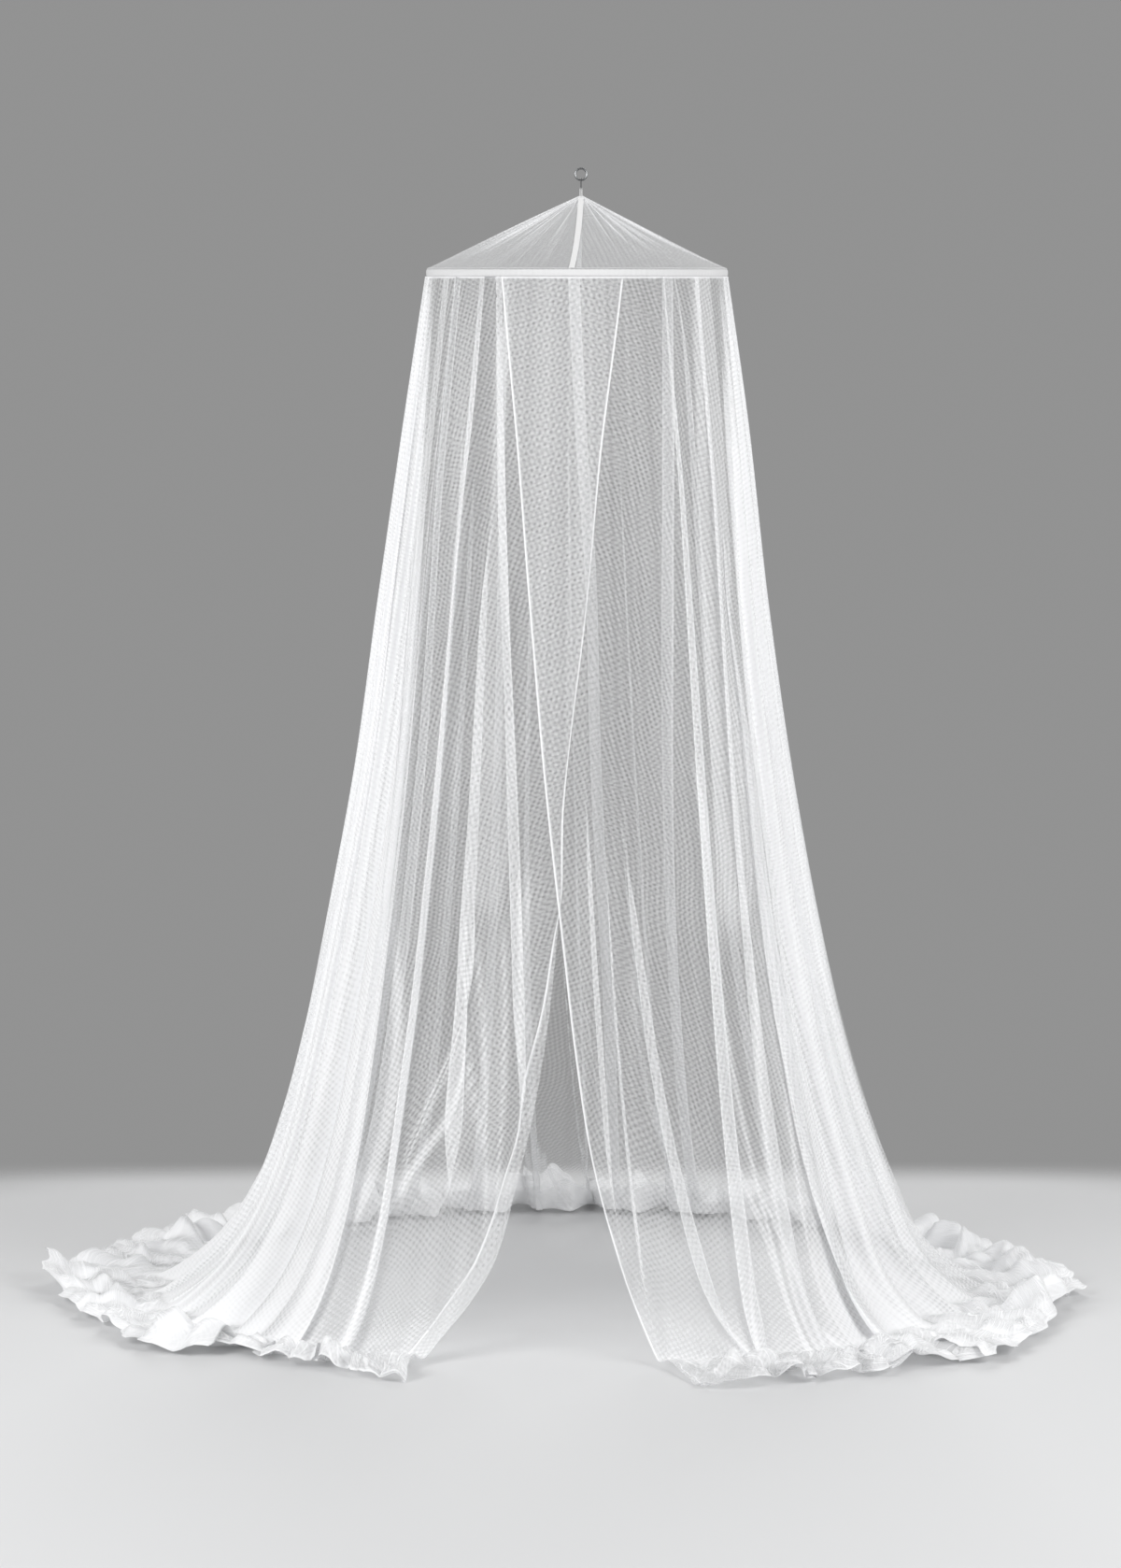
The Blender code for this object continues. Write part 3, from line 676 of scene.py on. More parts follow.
def bands(angle, drop):
    """Layers that the bands and creases add to the net."""
    radius = skirt_radius(angle, drop)
    layers = 0.0 * radius
    creases = tuple((first, last, edge, edge, 0.0, line) for first, last, edge, line in CREASES)
    for first, last, left, right, fill, line in BANDS + creases:
        share = np.clip((drop - first) / (last - first), 0.0, 1.0)
        from_left = radius * np.radians(signed(angle - along_three(share, *left)))
        from_right = radius * np.radians(signed(angle - along_three(share, *right)))
        shown = ease(drop, first, first + 0.12)
        if last < SKIRT_RADII[-1][0]:
            shown = shown * (1 - ease(drop, last - 0.1, last + 0.02))
        inside = ease(from_left, -BAND_EDGE, BAND_EDGE) * (1 - ease(from_right, -BAND_EDGE, BAND_EDGE))
        lines = np.exp(-((from_left / BAND_LINE) ** 2)) + np.exp(-((from_right / BAND_LINE) ** 2))
        layers = np.maximum(layers, shown * (fill * inside + line * np.minimum(lines, 1.0)))
    return layers


def narrow_gathers(angle, drop, depth):
    """Sideways and outward moves of the narrow gathers, which lean over so that their layers overlap."""
    part = gathered_share(angle, drop) * ease(drop, -0.25, 0.35)
    a = np.radians(signed(angle))
    bend = 0.8 * np.sin(5.0 * a + 0.8 * drop) + 0.5 * np.sin(13.0 * a - 1.1 * drop + 1.0)
    first = np.sin(117.0 * a + 2.2 * bend + 0.6 * drop)
    second = np.sin(71.0 * a - 1.7 * bend + 1.9)
    height = depth * part * (0.6 * first + 0.45 * second * (0.7 + 0.3 * np.sin(7.0 * a)))
    lean = 0.9 * np.sin(9.0 * a + 0.5 * drop) + 0.5
    waves = np.sin(47.0 * a + 1.5 * drop) + np.sin(31.0 * a - 0.9 * drop + 2.0)
    calm = CALM_WAVE * waves * ease(drop, 0.0, 0.8)
    return lean * height, height + calm * (1 - part)


def streaks(angle, row, drop):
    """Layers of net that the closer and looser threads seem to have, most in the gathered sides."""
    turn = signed(angle)
    a = np.radians(turn)
    fine = np.sin(83.0 * a + 2.0 * np.sin(7.0 * a)) + np.sin(141.0 * a + 3.0 * np.sin(5.0 * a + 1.0))
    broad = np.sin(23.0 * a + 0.8 * drop) + 0.7 * np.sin(37.0 * a - 0.6 * drop + 2.0)
    side = gathered_share(angle, drop) * ease(drop, -0.5, 0.4)
    front_right = ease(turn, 1.0, 6.0) * (1 - ease(turn, 20.0, 26.0)) * (1 - ease(drop, 1.4, 1.8))
    even = PLAIN_LAYERS - FRONT_RIGHT_LESS * front_right + 0.10 * fine + 0.10 * broad
    dense = GATHERED_LAYERS + 0.9 * fine + 0.9 * broad
    middle, half = OPEN_SIDE
    open_side = np.exp(-(((turn - middle) / half) ** 2)) * ease(drop, 1.15, 1.6) * (1 - ease(row, 1.0, 1.2))
    return np.clip((even + (dense - even) * side) * (1 - OPEN_SIDE_LESS * open_side), 0.25, 9.0)


def foot_waves(b, drop):
    """How far the cloth stands out just above the floor, most at the back."""
    waves = np.sin(31.0 * b + 2.0 * np.sin(3.0 * b)) + 0.8 * np.sin(53.0 * b + 1.0)
    spread = FOOT_WAVE * (1 + 2.6 * ease(-np.cos(b), 0.3, 0.9)) * waves + FOOT_SPREAD
    return spread * np.exp(-(DROP - drop) / FOOT_HEIGHT)


def skirt_cloth(angle, row, offset, sizes, edge):
    """Points of the skirt at these angles and rows, with the narrow folds, which end at the front edge."""
    drop = DROP * np.minimum(row, 1.0) + 0 * angle
    out = np.clip(row - 1.0, 0.0, 1.0) + 0 * angle
    b = np.radians(angle)
    plain = skirt_radius(angle, drop)
    from_edge = np.abs(signed(angle - edge))
    fade = ease(plain * np.radians(from_edge), *FOLDS_START)
    loose = 1 - ease(out, 0.0, 0.7)
    down = ease(out, 0.0, 0.1)
    side_pleat, out_pleat, _, spread = pleat_shift(angle, drop, sizes.pleat_layer)
    side_gather, out_gather = narrow_gathers(angle, drop, sizes.gather_depth)
    shifted = angle + np.degrees((side_pleat + side_gather * loose) * fade / plain)
    radius = skirt_radius(shifted, drop) + fold_height(angle, drop) + offset
    radius = radius + (out_pleat * (1 - down) + out_gather * loose) * fade + foot_waves(b, drop)
    stacked = (out_pleat + sizes.pleat_layer * spread) * fade * down
    hem = smooth_curve(signed(shifted), HEM, 1) + HEM_WAVE * np.sin(17.0 * b + 0.6) * np.sin(5.0 * b + 0.2)
    radius = radius + (hem - radius) * out
    length = np.maximum(hem - plain, 0.02) * out
    lift, roll, turn = train_shape(np.radians(shifted), length, out, ease(from_edge, 0.0, 8.0))
    radius = radius + roll
    a = np.radians(shifted) + turn / np.maximum(radius, 0.3)
    bend = BEND_LIFT * np.exp(-(DROP - drop) / BEND_REACH) * np.exp(-length / BEND_REACH)
    hanging_z = SKIRT_TOP_Z - drop + SEAM_RISE * (1 - ease(drop, 0.0, SEAM_RISE_DROP))
    floor_z = FLOOR_Z + NET / 2 + floor_lift(angle, out) + lift + stacked
    z = np.where(row < 1.0, hanging_z, floor_z) + bend
    return np.stack([HOOP_X + radius * np.sin(a), -radius * np.cos(a), z], axis=-1)


def train_shape(b, length, out, calm):
    """Height, outward roll and sideways turn (metres) of the small crumples on the floor."""
    wander = 1.6 * np.sin(4.0 * b + 0.4) + 1.1 * np.sin(9.0 * b + 2.0)
    ridges = np.sin(47.0 * b + wander + 7.0 * length) + 0.7 * np.sin(83.0 * b - 1.4 * wander - 9.0 * length)
    across = np.sin(95.0 * length + 3.0 * np.sin(13.0 * b + 1.0) + wander)
    across = across + 0.6 * np.sin(160.0 * length + 4.0 * np.sin(21.0 * b))
    curl = 71.0 * b + 2.2 * np.sin(7.0 * b) + 4.0 * length
    small = 131.0 * b + 3.0 * np.sin(11.0 * b + 1.0) - 7.0 * length
    near_hem = ease(out, 0.45, 0.85) * calm
    grown = ease(out, 0.0, 0.22)
    lobe = np.abs(np.cos(curl / 2))
    lobelet = np.abs(np.cos(small / 2))
    tier_line = 0.58 + 0.07 * np.sin(23.0 * b + 1.0)
    tier = np.exp(-(((out - tier_line) / 0.07) ** 2)) * np.abs(np.cos(41.0 * b + 2.0))
    small_lift = RIDGE * np.maximum(ridges + 0.5, 0.0) + CROSS_RIDGE * np.maximum(across, 0.0)
    lift = grown * (small_lift + TIER * calm * tier)
    lift = lift + near_hem * (LOBE[0] * lobe + LOBELET[0] * lobelet) * (1 - 0.5 * ease(out, 0.9, 1.0))
    roll = near_hem * (LOBE[1] * (lobe - 0.6) + LOBELET[1] * (lobelet - 0.6))
    turn = grown * (1 - 0.7 * near_hem) * CROSS_RIDGE * ridges
    return lift, roll, turn


def edge_angle(row, column):
    """Angle of a front edge or of the back seam at this row."""
    floor_drop = EDGES[-2][0]
    drop = np.where(row < 1.0, row * floor_drop, floor_drop + (row - 1.0) * (EDGES[-1][0] - floor_drop))
    return smooth_curve(drop, EDGES, column)


def panel_columns(row, side):
    """Angles of one panel's columns, from its front edge round its side to the back seam."""
    front_count, side_count, back_count = PANEL_COLUMNS
    edge = side * edge_angle(row, 1 if side > 0 else 2)
    seam = edge_angle(row, 3)
    seam = seam if side > 0 else 360.0 - seam
    seam = seam - np.degrees(SEAM_GAP / 2 / skirt_radius(180.0, DROP * np.minimum(row, 1.0)))
    front = edge + (SIDE_FROM - edge) * np.linspace(0.0, 1.0, front_count)[None, :-1]
    sides = np.linspace(SIDE_FROM, SIDE_TO, side_count)[None, :] + 0 * row
    back = SIDE_TO + (seam - SIDE_TO) * np.linspace(0.0, 1.0, back_count)[None, 1:]
    return side * np.concatenate([front, sides, back], axis=1)


def turned_back(row, fold_angle, offset, sizes):
    """The left panel's strip beyond its fold line: flat at the top, and turned inwards lower down."""
    drop = DROP * np.minimum(row, 1.0)
    flat = (smooth_curve(drop, TURN_WIDTHS, 1) - TURN_ARC) * np.array(TURN_FLAT_SHARES)[None, :]
    bent = TURN_ARC * np.array(TURN_ARC_SHARES)[None, :] + 0 * row
    along = np.concatenate([bent, TURN_ARC + flat], axis=1)
    bend = math.pi * ease(drop, *TURN_BACK_STARTS)
    arc = np.minimum(along, TURN_ARC)
    turn = np.maximum(bend, 1e-6) / TURN_ARC
    forward = np.sin(turn * arc) / turn + np.cos(bend) * (along - arc)
    inward = (1 - np.cos(turn * arc)) / turn + np.sin(bend) * (along - arc)
    angle = fold_angle + np.degrees(forward / skirt_radius(fold_angle, drop))
    points = skirt_cloth(angle, row + 0 * angle, offset, sizes, fold_angle)
    outward = np.stack([np.sin(np.radians(angle)), -np.cos(np.radians(angle)), 0 * angle], axis=-1)
    upward = ease(row - 1.0, -0.06, 0.0)
    moved = points - outward * (inward * (1 - upward))[..., None]
    moved[..., 2] = moved[..., 2] + inward * upward
    return moved


def cone_radius(along):
    """Level radius of the cone."""
    return CONE_TIP_RADIUS + (CASING_RADIUS - CONE_TIP_RADIUS) * along


def cone_seam(seam, along):
    """Angle of one of the cone's seams."""
    tip, turn = CONE_SEAMS[seam]
    return tip + turn * along


def cone_outward(grid):
    """Direction out of the cone's slope."""
    outward = radial(grid) * 0.45
    outward[..., 2] = 0.9
    return outward


def cone_point(angle, along, offset=0.0):
    """Points of the cone. along is 0 at the tip and 1 at the hoop."""
    a = np.radians(angle)
    rim_radius = CASING_RADIUS - CONE_RIM_INSET
    rim_z = HOOP_Z + CASING_HEIGHT / 2 + GAP + CONE_NET / 2
    radius = CONE_TIP_RADIUS + (rim_radius - CONE_TIP_RADIUS) * along
    z = CONE_TIP_Z + (rim_z - CONE_TIP_Z) * along
    hollow = 4 * along * (1 - along)
    creases = 0.6 * np.sin(11.0 * a + 0.8) + 0.4 * np.sin(19.0 * a + 2.0)
    calm = ease(np.minimum(np.abs(signed(angle)), np.abs(signed(angle - 180.0))), 6.0, 16.0)
    fine = 0.5 * np.sin(53.0 * a + 2.0 * np.sin(3 * a)) + 0.5 * np.sin(37.0 * a + 1.0)
    z = z + offset + hollow * ((CREASE_DEPTH * creases + FINE_CREASE_DEPTH * fine) * calm - CONE_SAG)
    shift = hollow * calm * 0.9 * np.sin(37.0 * a + 2.2) / np.maximum(radius, 0.02) * CREASE_LEAN
    return np.stack([HOOP_X * along + radius * np.sin(a + shift), -radius * np.cos(a + shift), z], axis=-1)


def cone_lines(angle, along):
    """Layers that the creases add to the net of the cone."""
    layers = 0.0 * (angle + along)
    for centre, start, end, half, strength in CONE_LINES:
        shown = ease(along, start - 0.1, start + 0.1) * (1 - ease(along, end - 0.12, end + 0.06))
        layers = np.maximum(layers, strength * shown * np.exp(-((signed(angle - centre) / half) ** 2)))
    return layers


def lengths(grid, axis):
    """Running length of a grid's lines along one axis."""
    step = np.linalg.norm(np.diff(grid, axis=axis), axis=-1)
    return np.concatenate([np.zeros_like(np.take(step, [0], axis)), np.cumsum(step, axis=axis)], axis=axis)


def thickening(grid, outward):
    """How many times thicker the net looks than a flat one, from the tilt of each point."""
    normal = np.cross(np.gradient(grid, axis=0), np.gradient(grid, axis=1))
    normal = normal / np.maximum(np.linalg.norm(normal, axis=-1, keepdims=True), 1e-12)
    facing = np.abs((normal * outward).sum(axis=-1))
    return np.clip(1.0 / np.maximum(facing, 1e-3), 1.0, 4.0)


def cloth_object(name, grid, across, down, attributes, outward, material):
    """A cloth piece on a grid of points, made from bmesh's grid."""
    rows, columns = grid.shape[:2]
    shape = bmesh.new()
    bmesh.ops.create_grid(shape, x_segments=columns - 1, y_segments=rows - 1, size=1.0)
    mesh = bpy.data.meshes.new(name)
    shape.to_mesh(mesh)
    shape.free()
    flat = np.empty(len(mesh.vertices) * 3)
    mesh.vertices.foreach_get("co", flat)
    flat = flat.reshape(-1, 3)
    c = np.rint((flat[:, 0] + 1) / 2 * (columns - 1)).astype(int)
    r = np.rint((flat[:, 1] + 1) / 2 * (rows - 1)).astype(int)
    mesh.vertices.foreach_set("co", grid[r, c].astype(np.float32).ravel())
    layer = mesh.uv_layers.new(name="NetUV")
    corner = np.empty(len(mesh.loops), np.int32)
    mesh.loops.foreach_get("vertex_index", corner)
    uv = np.stack([across[r, c], down[r, c]], axis=-1)[corner]
    layer.data.foreach_set("uv", uv.astype(np.float32).ravel())
    for key, values in attributes.items():
        made = mesh.attributes.new(key, "FLOAT", "POINT")
        made.data.foreach_set("value", values[r, c].astype(np.float32))
    mesh.polygons.foreach_set("use_smooth", np.ones(len(mesh.polygons), bool))
    mesh.update()
    middle = mesh.polygons[len(mesh.polygons) // 2]
    i, j = r[middle.vertices[0]], c[middle.vertices[0]]
    if middle.normal.dot(Vector(outward[i, j])) < 0:
        mesh.flip_normals()
    mesh.materials.append(material)
    made = bpy.data.objects.new(name, mesh)
    bpy.context.scene.collection.objects.link(made)
    return made


def radial(grid):
    """Level direction away from the hoop's axis."""
    out = grid - np.array([HOOP_X, 0.0, 0.0])
    out[..., 2] = 0.0
    return out / np.maximum(np.linalg.norm(out, axis=-1, keepdims=True), 1e-9)


def crease_lines(make, across, down):
    """Thin wandering lines where the net is creased, 1 on a line."""
    place = make.node("ShaderNodeCombineXYZ", X=across, Y=down)
    folds = make.noise(place, 1.0, 2.0, "2D", 0.5)
    return make.ramp((folds - 0.5).maths("ABSOLUTE"), 0.0, CREASE_WIDTH, 1.0, 0.0)


def net_material(name, sizes, look, crumpled=False):
    """Sheer net whose threads close up where the cloth turns edgeways, and in its hem."""
    low, high, speckle = NETS[name]
    pitch = sizes.mesh_pitch
    colour = look.thread
    make = Maker(name)
    place = make.node("ShaderNodeUVMap", {"uv_map": "NetUV"})
    across, down = [number * (math.pi / pitch) for number in make.parts(place)[:2]]
    one_way = (across + down).maths("SINE").maths("ABSOLUTE")
    other_way = (across - down).maths("SINE").maths("ABSOLUTE")
    thread = make.ramp(one_way.maths("MINIMUM", other_way), *THREAD_EDGE, high, low)
    even = (1 - THREAD_SHARE) * low + THREAD_SHARE * high
    thread = (thread - even) * make.attribute("ripple") + even
    cloudy = make.noise(make.place(), 3.0, 3.0)
    uneven = make.ramp(cloudy, *NOISE_SPAN, 0.85, 1.15)
    sway = make.noise(make.place(), 3.4, 1.0)
    first = (across * 0.29 + down * 0.14 + sway * 34.0).maths("SINE")
    second = (down * 0.25 - across * 0.12 + sway * 29.0).maths("SINE")
    ripple = first * second * make.attribute("ripple") * speckle
    layers = make.attribute("closeness") * uneven * (ripple + 1.0)
    if crumpled:
        long_across, long_down, long_layers = LONG_CREASES
        short_across, short_down, short_layers = SHORT_CREASES
        long_line = crease_lines(make, across * (long_across * pitch), down * (long_down * pitch))
        short_line = crease_lines(make, across * (short_across * pitch) + 7.0, down * (short_down * pitch))
        layers = layers + (long_line * long_layers + short_line * short_layers) * make.attribute("crumple")
    sheer = 1 - (1 - thread).power(layers)
    make.feed("Alpha", (sheer + (HEM_OPACITY - sheer) * make.attribute("hem")).clamped())
    make.feed("Base Color", make.blend(cloudy, [0.94 * part for part in colour], colour))
    make.feed("Roughness", 0.75)
    make.feed("Sheen Weight", 0.15)
    return make.material


def tape_material(name, colour):
    """Woven tape or cloth, or a dull coat, with painted shade in the weave's hollows."""
    make = Maker(name)
    weave = make.noise(make.place(), 1.0 / WEAVES[name], 2.0)
    make.feed("Normal", make.node("ShaderNodeBump", Height=weave, Strength=0.25, Distance=0.0006))
    # Painted shade: the weave's low spots, where the bump sits deepest, are coloured a little darker than
    # its raised threads.
    painted_weave_shade = make.ramp(weave, *NOISE_SPAN, 0.93, 1.0)
    make.feed("Base Color", make.blend(painted_weave_shade, [0.55 * part for part in colour], colour))
    make.feed("Roughness", 0.8)
    return make.material


def steel_material(name, colour):
    """Bright plated wire with faint drawing marks."""
    make = Maker(name)
    marks = make.noise(make.place(), 900.0, 3.0)
    make.feed("Base Color", (*colour, 1.0))
    make.feed("Metallic", 1.0)
    make.feed("Roughness", make.ramp(marks, *NOISE_SPAN, 0.34, 0.48))
    return make.material


def hem_mask(across, width, at_end):
    """1 within width of the first column, and of the last one where at_end is set."""
    mask = 1 - ease(across, width * HEM_FADE[0], width)
    if at_end:
        mask = np.maximum(mask, 1 - ease(across[:, -1:] - across, width * HEM_FADE[0], width))
    return mask


def skirt_rows():
    """Rows of the skirt: shares of its drop up to 1, and above 1 shares of its way over the floor."""
    upper = np.linspace(0.0, FOOT_FROM[0], HANGING_ROWS)
    foot = np.linspace(FOOT_FROM[1], 1.0, FOOT_ROWS)
    hanging = np.insert(np.concatenate([upper, foot]), 1, SEAM_ROWS)
    return np.concatenate([hanging, 1 + np.linspace(0.0, 1.0, FLOOR_ROWS)[1:]])[:, None]


def skirt_panel(row, side, sizes):
    """Angles and points of one skirt panel, and the angle of its front edge or fold line."""
    angles = panel_columns(row, side)
    edge = angles[:, :1]
    if side > 0:
        grid = skirt_cloth(angles, row + 0 * angles, 0.0, sizes, edge)
    else:
        drop = DROP * np.minimum(row, 1.0)
        under = UNDERLAP * (1 - ease(drop, *UNDERLAP_ENDS)) * ease(angles, *UNDERLAP_ANGLES)
        main = skirt_cloth(angles, row + 0 * angles, -under, sizes, edge)
        strip = turned_back(row, edge, -under[:, :1], sizes)
        grid = np.concatenate([strip[:, ::-1], main], axis=1)
        angles = np.concatenate([np.repeat(edge, strip.shape[1], axis=1), angles], axis=1)
    grid[..., 2] = np.maximum(grid[..., 2], FLOOR_Z + NET / 2)
    return angles, grid, edge


def skirt_looks(row, angles, edge, grid, across, down, hem_width):
    """Layers of net that show at each point of the skirt, and its hem, ripple and crumple."""
    drop = DROP * np.minimum(row, 1.0)
    flared = ease(drop, FLARE_DROP, DROP)
    on_floor = ease(row, *FLOOR_TURN)
    upward = np.zeros_like(grid)
    upward[..., 2] = 1.0
    most = TILT_LAYERS - (TILT_LAYERS - LOW_TILT_LAYERS) * flared
    layers = np.minimum(thickening(grid, radial(grid)), most) * (1 - on_floor)
    layers = layers + np.minimum(thickening(grid, upward), FLOOR_TILT_LAYERS) * FLOOR_LAYERS * on_floor
    b = np.radians(angles)
    facing = 0.4 + 0.6 * np.abs(np.cos(np.radians(edge)))
    heap = 1 + HEAP_LAYERS * np.exp(-(DROP - drop) / HEAP_HEIGHT) * facing
    bunched = DROP - BUNCH_HEIGHT + 0.014 * np.sin(19.0 * b + 1.0) + 0.010 * np.sin(43.0 * b)
    at_back = ease(-np.cos(b), 0.3, 0.8)
    bunch = ease(drop, bunched - 0.004, bunched + 0.004) * (1 + 0.35 * np.sin(31.0 * b + 40.0 * drop))
    layers = layers * heap * (1 + BACK_HEAP_LAYERS * at_back * on_floor)
    layers = layers + BUNCH_LAYERS * at_back * bunch * (1 - on_floor)
    from_edge = skirt_radius(angles, drop) * np.radians(np.abs(angles - edge))
    pleats = pleat_shift(angles, drop, 0.0)[2] * ease(from_edge, *FOLDS_START)
    creases = bands(angles, drop) * ease(from_edge, *BANDS_START)
    dense = streaks(angles, row, drop)
    kept = (1 - FLARE_THINNING * flared) * (1 - SETTLED_THINNING * ease(row, *FLOOR_SETTLE))
    layers = layers * (1 + (dense - 1) * kept)
    layers = layers + (PLEAT_LAYERS * pleats + BAND_LAYERS * creases) * (1 - FLOOR_FOLD_THINNING * on_floor)
    layers = layers * (1 - FLOOR_THINNING * on_floor)
    ripple = 1 - 0.55 * ease(drop, 1.65, 2.05) - 0.10 * on_floor
    ripple = ripple * (1 - 0.5 * np.clip(pleats + creases, 0.0, 1.0)) * (1 - 0.45 * ease(dense, 2.5, 5.0))
    low, floor, back = CRUMPLED
    crumple = low * ease(drop, 1.85, DROP) + floor * on_floor
    crumple = crumple + back * at_back * ease(drop, DROP - 0.08, DROP)
    hem = hem_mask(across, hem_width, False)
    hem = np.maximum(hem, 1 - ease(down[-1:] - down, hem_width * HEM_FADE[0], hem_width * HEM_FADE[1]))
    hem = np.maximum(hem, 1 - ease(down, *SEAM_HEM))
    return {"closeness": layers, "hem": hem, "ripple": ripple, "crumple": crumple}


def cell_area(grid):
    """Area of all the cells of a grid."""
    first = grid[1:, :-1] - grid[:-1, :-1]
    second = grid[:-1, 1:] - grid[:-1, :-1]
    return float(np.linalg.norm(np.cross(first, second), axis=-1).sum())


def declare(made, node, area=None):
    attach(made, "root")
    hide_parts(node)


class NET_OT_skirt(bpy.types.Operator):
    """Makes the two skirt panels"""

    bl_idname = "net.skirt"
    bl_label = "Skirt"

    def execute(self, context):
        sizes = context.scene.net_sizes
        material = net_material("sheer_net", sizes, context.scene.net_look, True)
        row = skirt_rows()
        panels = (("skirt_net_right", "skirt_right", 1), ("skirt_net_left", "skirt_left", -1))
        for name, node, side in panels:
            angles, grid, edge = skirt_panel(row, side, sizes)
            across = lengths(grid, 1)
            down = lengths(grid, 0)
            looks = skirt_looks(row, angles, edge, grid, across, down, sizes.hem_width)
            made = cloth_object(name, grid, across, down, looks, radial(grid), material)
            declare(made, node, area=cell_area(grid))
        return {"FINISHED"}


class NET_OT_cone(bpy.types.Operator):
    """Makes the two net panels of the cone"""

    bl_idname = "net.cone"
    bl_label = "Cone"

    def execute(self, context):
        material = net_material("cone_net", context.scene.net_sizes, context.scene.net_look)
        rows, columns = CONE_GRID
        along = np.linspace(0.0, 1.0, rows)[:, None]
        gap = np.degrees(SEAM_GAP / 2 / cone_radius(along))
        front = cone_seam("front", along)
        back = cone_seam("back", along)
        halves = (
            ("cone_cloth_right", "cone_net_right", front + gap, back - gap),
            ("cone_cloth_left", "cone_net_left", back + gap, front + 360.0 - gap),
        )
        for name, node, low, high in halves:
            angles = low + (high - low) * np.linspace(0.0, 1.0, columns)[None, :]
            grid = cone_point(angles, along + 0 * angles)
            across = lengths(grid, 1)
            down = lengths(grid, 0)
            outward = cone_outward(grid)
            hem = np.maximum(1 - ease(down[-1:] - down, *CONE_RIM_HEM), 1 - ease(down, *CONE_TIP_HEM))
            layers = np.clip(thickening(grid, outward) * (1.0 + 0.02 / np.maximum(down, 0.01)), 1.0, 5.0)
            layers = layers * (CONE_LAYERS[0] + CONE_LAYERS[1] * np.abs(np.sin(np.radians(angles))))
            looks = {"closeness": layers + cone_lines(angles, along), "hem": hem, "ripple": 1 + 0 * layers}
            made = cloth_object(name, grid, across, down, looks, outward, material)
            flat = (float(across[-1, -1]), float(down[-1].max()))
            declare(made, node, area=0.5 * flat[0] * flat[1])
        return {"FINISHED"}


class NET_OT_tapes(bpy.types.Operator):
    """Makes the tapes over the cone's seams and the band over the skirt's back seam"""

    bl_idname = "net.tapes"
    bl_label = "Seam tapes"

    def execute(self, context):
        sizes = context.scene.net_sizes
        look = context.scene.net_look
        tape = tape_material("seam_tape", look.tape)
        rows, columns = TAPE_GRID
        start = (SEAM_TAPE_START_RADIUS - CONE_TIP_RADIUS) / (CASING_RADIUS - CONE_TIP_RADIUS)
        along = np.linspace(start, 1.0, rows)[:, None]
        share = np.linspace(-1.0, 1.0, columns)[None, :]
        half = np.degrees(SEAM_TAPE_WIDTH / 2 / cone_radius(along))
        tapes = (
            ("cone_tape_front", "cone_front_tape", "front"),
            ("cone_tape_back", "cone_back_tape", "back"),
        )
        for name, node, seam in tapes:
            angles = cone_seam(seam, along) + half * share
            grid = cone_point(angles, along + 0 * angles, SEAM_TAPE_RISE)
            grid[..., 2] = grid[..., 2] + PUCKER * np.sin(lengths(grid, 0) * 520.0) * np.abs(share)
            put_tape(name, node, grid, {}, cone_outward(grid), tape)
        band = net_material("doubled_net", sizes, look)
        rows, columns = BAND_GRID
        row = np.linspace(0.0, BACK_TAPE_ROW, rows)[:, None]
        half = np.degrees(BACK_TAPE_WIDTH / 2 / skirt_radius(180.0, DROP * row))
        angles = edge_angle(row, 3) + half * np.linspace(-1.0, 1.0, columns)[None, :]
        grid = skirt_cloth(angles, row + 0 * angles, -BACK_TAPE_OFFSET, sizes, 0.0)
        hem = 0.6 * hem_mask(lengths(grid, 1), BACK_TAPE_HEM, True)
        looks = {"closeness": BACK_TAPE_LAYERS + 0 * hem, "hem": hem, "ripple": 1 + 0 * hem}
        outward = radial(grid)
        put_tape("back_seam_band", "skirt_back_tape", grid, looks, outward, band)
        return {"FINISHED"}


def put_tape(name, node, grid, looks, outward, material):
    """One thin tape in place of its solid."""
    across = lengths(grid, 1)
    down = lengths(grid, 0)
    made = cloth_object(name, grid, across, down, looks, outward, material)
    declare(made, node)


class NET_OT_casing(bpy.types.Operator):
    """Makes the sewn sleeve round the hoop"""

    bl_idname = "net.casing"
    bl_label = "Casing"

    def execute(self, context):
        rows, columns = SLEEVE_GRID
        a = np.radians(np.linspace(0.0, 360.0, columns))[None, :]
        turn = np.linspace(0.0, 1.0, rows)[:, None]
        about = 2 * math.pi * (SLEEVE_START + SLEEVE_TURN * turn)
        broad, fine = SLEEVE_PUCKERS
        pull = broad * np.sin(190.0 * a + 3.0 * np.sin(9.0 * a)) + fine * np.sin(331.0 * a + 5.0 * turn)
        flat = (np.abs(np.cos(about)) ** 3 + np.abs(np.sin(about)) ** 3) ** (-1 / 3)
        depth = (CASING_DEPTH / 2 - SLEEVE_INSET[0]) * flat + pull
        height = (CASING_HEIGHT / 2 - SLEEVE_INSET[1]) * flat ** 0.5 + pull
        middle = CASING_RADIUS - CASING_DEPTH / 2
        radius = middle + depth * np.cos(about)
        z = HOOP_Z + height * np.clip(np.sin(about) * flat ** 0.5, -1.0, 1.0)
        grid = np.stack([HOOP_X + radius * np.sin(a), -radius * np.cos(a), z], axis=-1)
        across = lengths(grid, 1)
        down = lengths(grid, 0)
        core = np.stack([HOOP_X + middle * np.sin(a), -middle * np.cos(a), HOOP_Z + 0 * a], axis=-1)
        sleeve = tape_material("casing_cloth", context.scene.net_look.casing)
        made = cloth_object("hoop_sleeve", grid, across, down, {}, grid - core, sleeve)
        declare(made, "hoop_casing")
        return {"FINISHED"}


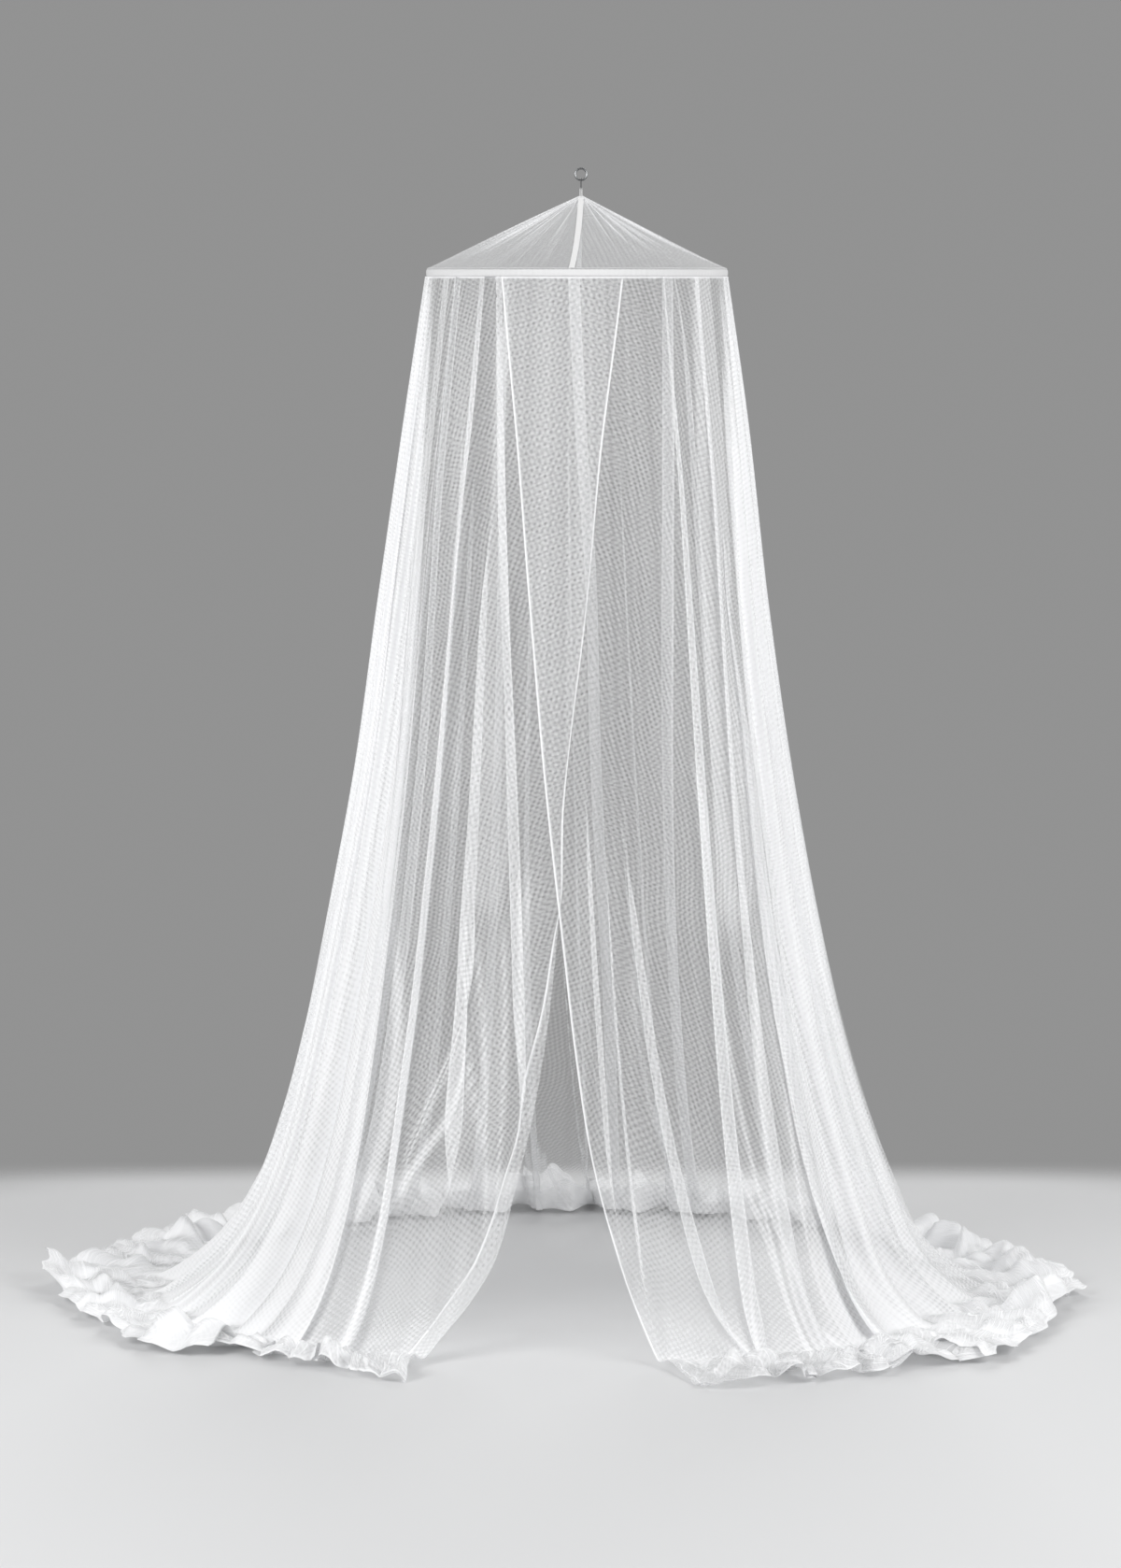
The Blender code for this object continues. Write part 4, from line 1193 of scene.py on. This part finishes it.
class NET_OT_fittings(bpy.types.Operator):
    """Gives the ring, link, loop and rod their materials"""

    bl_idname = "net.fittings"
    bl_label = "Ring, link, loop and rod"

    def execute(self, context):
        look = context.scene.net_look
        steel = steel_material("plated_wire", look.steel)
        tape = tape_material("white_tape", look.tape)
        rod = tape_material("coated_rod", look.tape)
        finishes = {"hanging_ring": steel, "hanging_link": steel, "hanging_loop": tape, "hoop": rod}
        for node, finish in finishes.items():
            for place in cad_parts[node].material_slots:
                place.material = finish
        return {"FINISHED"}


class NET_OT_stage(bpy.types.Operator):
    """Makes the plain floor, the soft light and the camera"""

    bl_idname = "net.stage"
    bl_label = "Stage"

    def execute(self, context):
        colour = context.scene.net_stage.floor
        shape = bmesh.new()
        bmesh.ops.create_circle(shape, cap_ends=True, segments=96, radius=FLOOR_RADIUS)
        mesh = bpy.data.meshes.new("floor")
        shape.to_mesh(mesh)
        shape.free()
        mesh.transform(Matrix.Translation((0.0, FLOOR_MIDDLE_Y, FLOOR_Z - FLOOR_DROP)))
        floor = bpy.data.objects.new("floor", mesh)
        context.scene.collection.objects.link(floor)
        make = Maker("plain_floor")
        place = make.place()
        middle = make.tree.nodes.new("ShaderNodeVectorMath")
        middle.operation = "DISTANCE"
        make.tree.links.new(place.socket, middle.inputs[0])
        middle.inputs[1].default_value = (0.0, FLOOR_MIDDLE_Y, FLOOR_Z)
        reach = Sock(make.tree, middle.outputs["Value"])
        make.feed("Base Color", (*colour, 1.0))
        make.feed("Roughness", 0.9)
        behind = make.ramp(make.parts(place)[1], *FLOOR_BACK_FADE, 1.0, 0.0)
        make.feed("Alpha", behind * make.ramp(reach, *FLOOR_FADE, 1.0, 0.0))
        floor.data.materials.append(make.material)
        add_camera(context)
        add_light(context)
        return {"FINISHED"}


def add_camera(context):
    """Camera at the photo's viewing angle."""
    data = bpy.data.cameras.new("view")
    data.sensor_width = SENSOR
    data.lens = FOCAL_PX / PHOTO_HEIGHT_PX * SENSOR
    camera = bpy.data.objects.new("view", data)
    context.scene.collection.objects.link(camera)
    camera.location = (HOOP_X - AXIS_LEFT_PX / FOCAL_PX * CAMERA_DISTANCE, -CAMERA_DISTANCE, HOOP_Z)
    camera.rotation_euler = (math.radians(90.0) - math.atan(AXIS_DOWN_PX / FOCAL_PX), 0.0, 0.0)
    data.clip_end = 200.0
    context.scene.camera = camera


def add_light(context):
    """Soft even studio light, a little stronger from the left."""
    world = bpy.data.worlds.new("studio")
    context.scene.world = world
    world.use_nodes = True
    background = world.node_tree.nodes["Background"]
    background.inputs["Color"].default_value = (1.0, 1.0, 1.0, 1.0)
    background.inputs["Strength"].default_value = WORLD_STRENGTH
    for name, place, power in LIGHTS:
        data = bpy.data.lights.new(name, "AREA")
        data.size = LIGHT_SIZE
        data.energy = power
        light = bpy.data.objects.new(name, data)
        context.scene.collection.objects.link(light)
        light.location = place
        aim = Vector(LIGHT_AIM) - Vector(place)
        light.rotation_euler = aim.to_track_quat("-Z", "Y").to_euler()
    context.scene.view_settings.view_transform = "Standard"


OPERATORS = (NET_OT_skirt, NET_OT_cone, NET_OT_tapes, NET_OT_casing, NET_OT_fittings, NET_OT_stage)


class NET_PT_panel(bpy.types.Panel):
    bl_label = "Mosquito net"
    bl_idname = "NET_PT_panel"
    bl_space_type = "VIEW_3D"
    bl_region_type = "UI"
    bl_category = "Net"

    def draw(self, context):
        for item in OPERATORS:
            self.layout.operator(item.bl_idname)


CLASSES = (NetSizes, NetLook, StageLook, *OPERATORS, NET_PT_panel)


def register():
    for item in CLASSES:
        bpy.utils.register_class(item)
    bpy.types.Scene.net_sizes = bpy.props.PointerProperty(type=NetSizes)
    bpy.types.Scene.net_look = bpy.props.PointerProperty(type=NetLook)
    bpy.types.Scene.net_stage = bpy.props.PointerProperty(type=StageLook)


def unregister():
    del bpy.types.Scene.net_stage
    del bpy.types.Scene.net_look
    del bpy.types.Scene.net_sizes
    for item in reversed(CLASSES):
        bpy.utils.unregister_class(item)


def main():
    register()
    bpy.ops.net.stage()
    bpy.ops.net.skirt()
    bpy.ops.net.cone()
    bpy.ops.net.tapes()
    bpy.ops.net.casing()
    bpy.ops.net.fittings()
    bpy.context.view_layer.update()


if __name__ == "__main__":
    main()
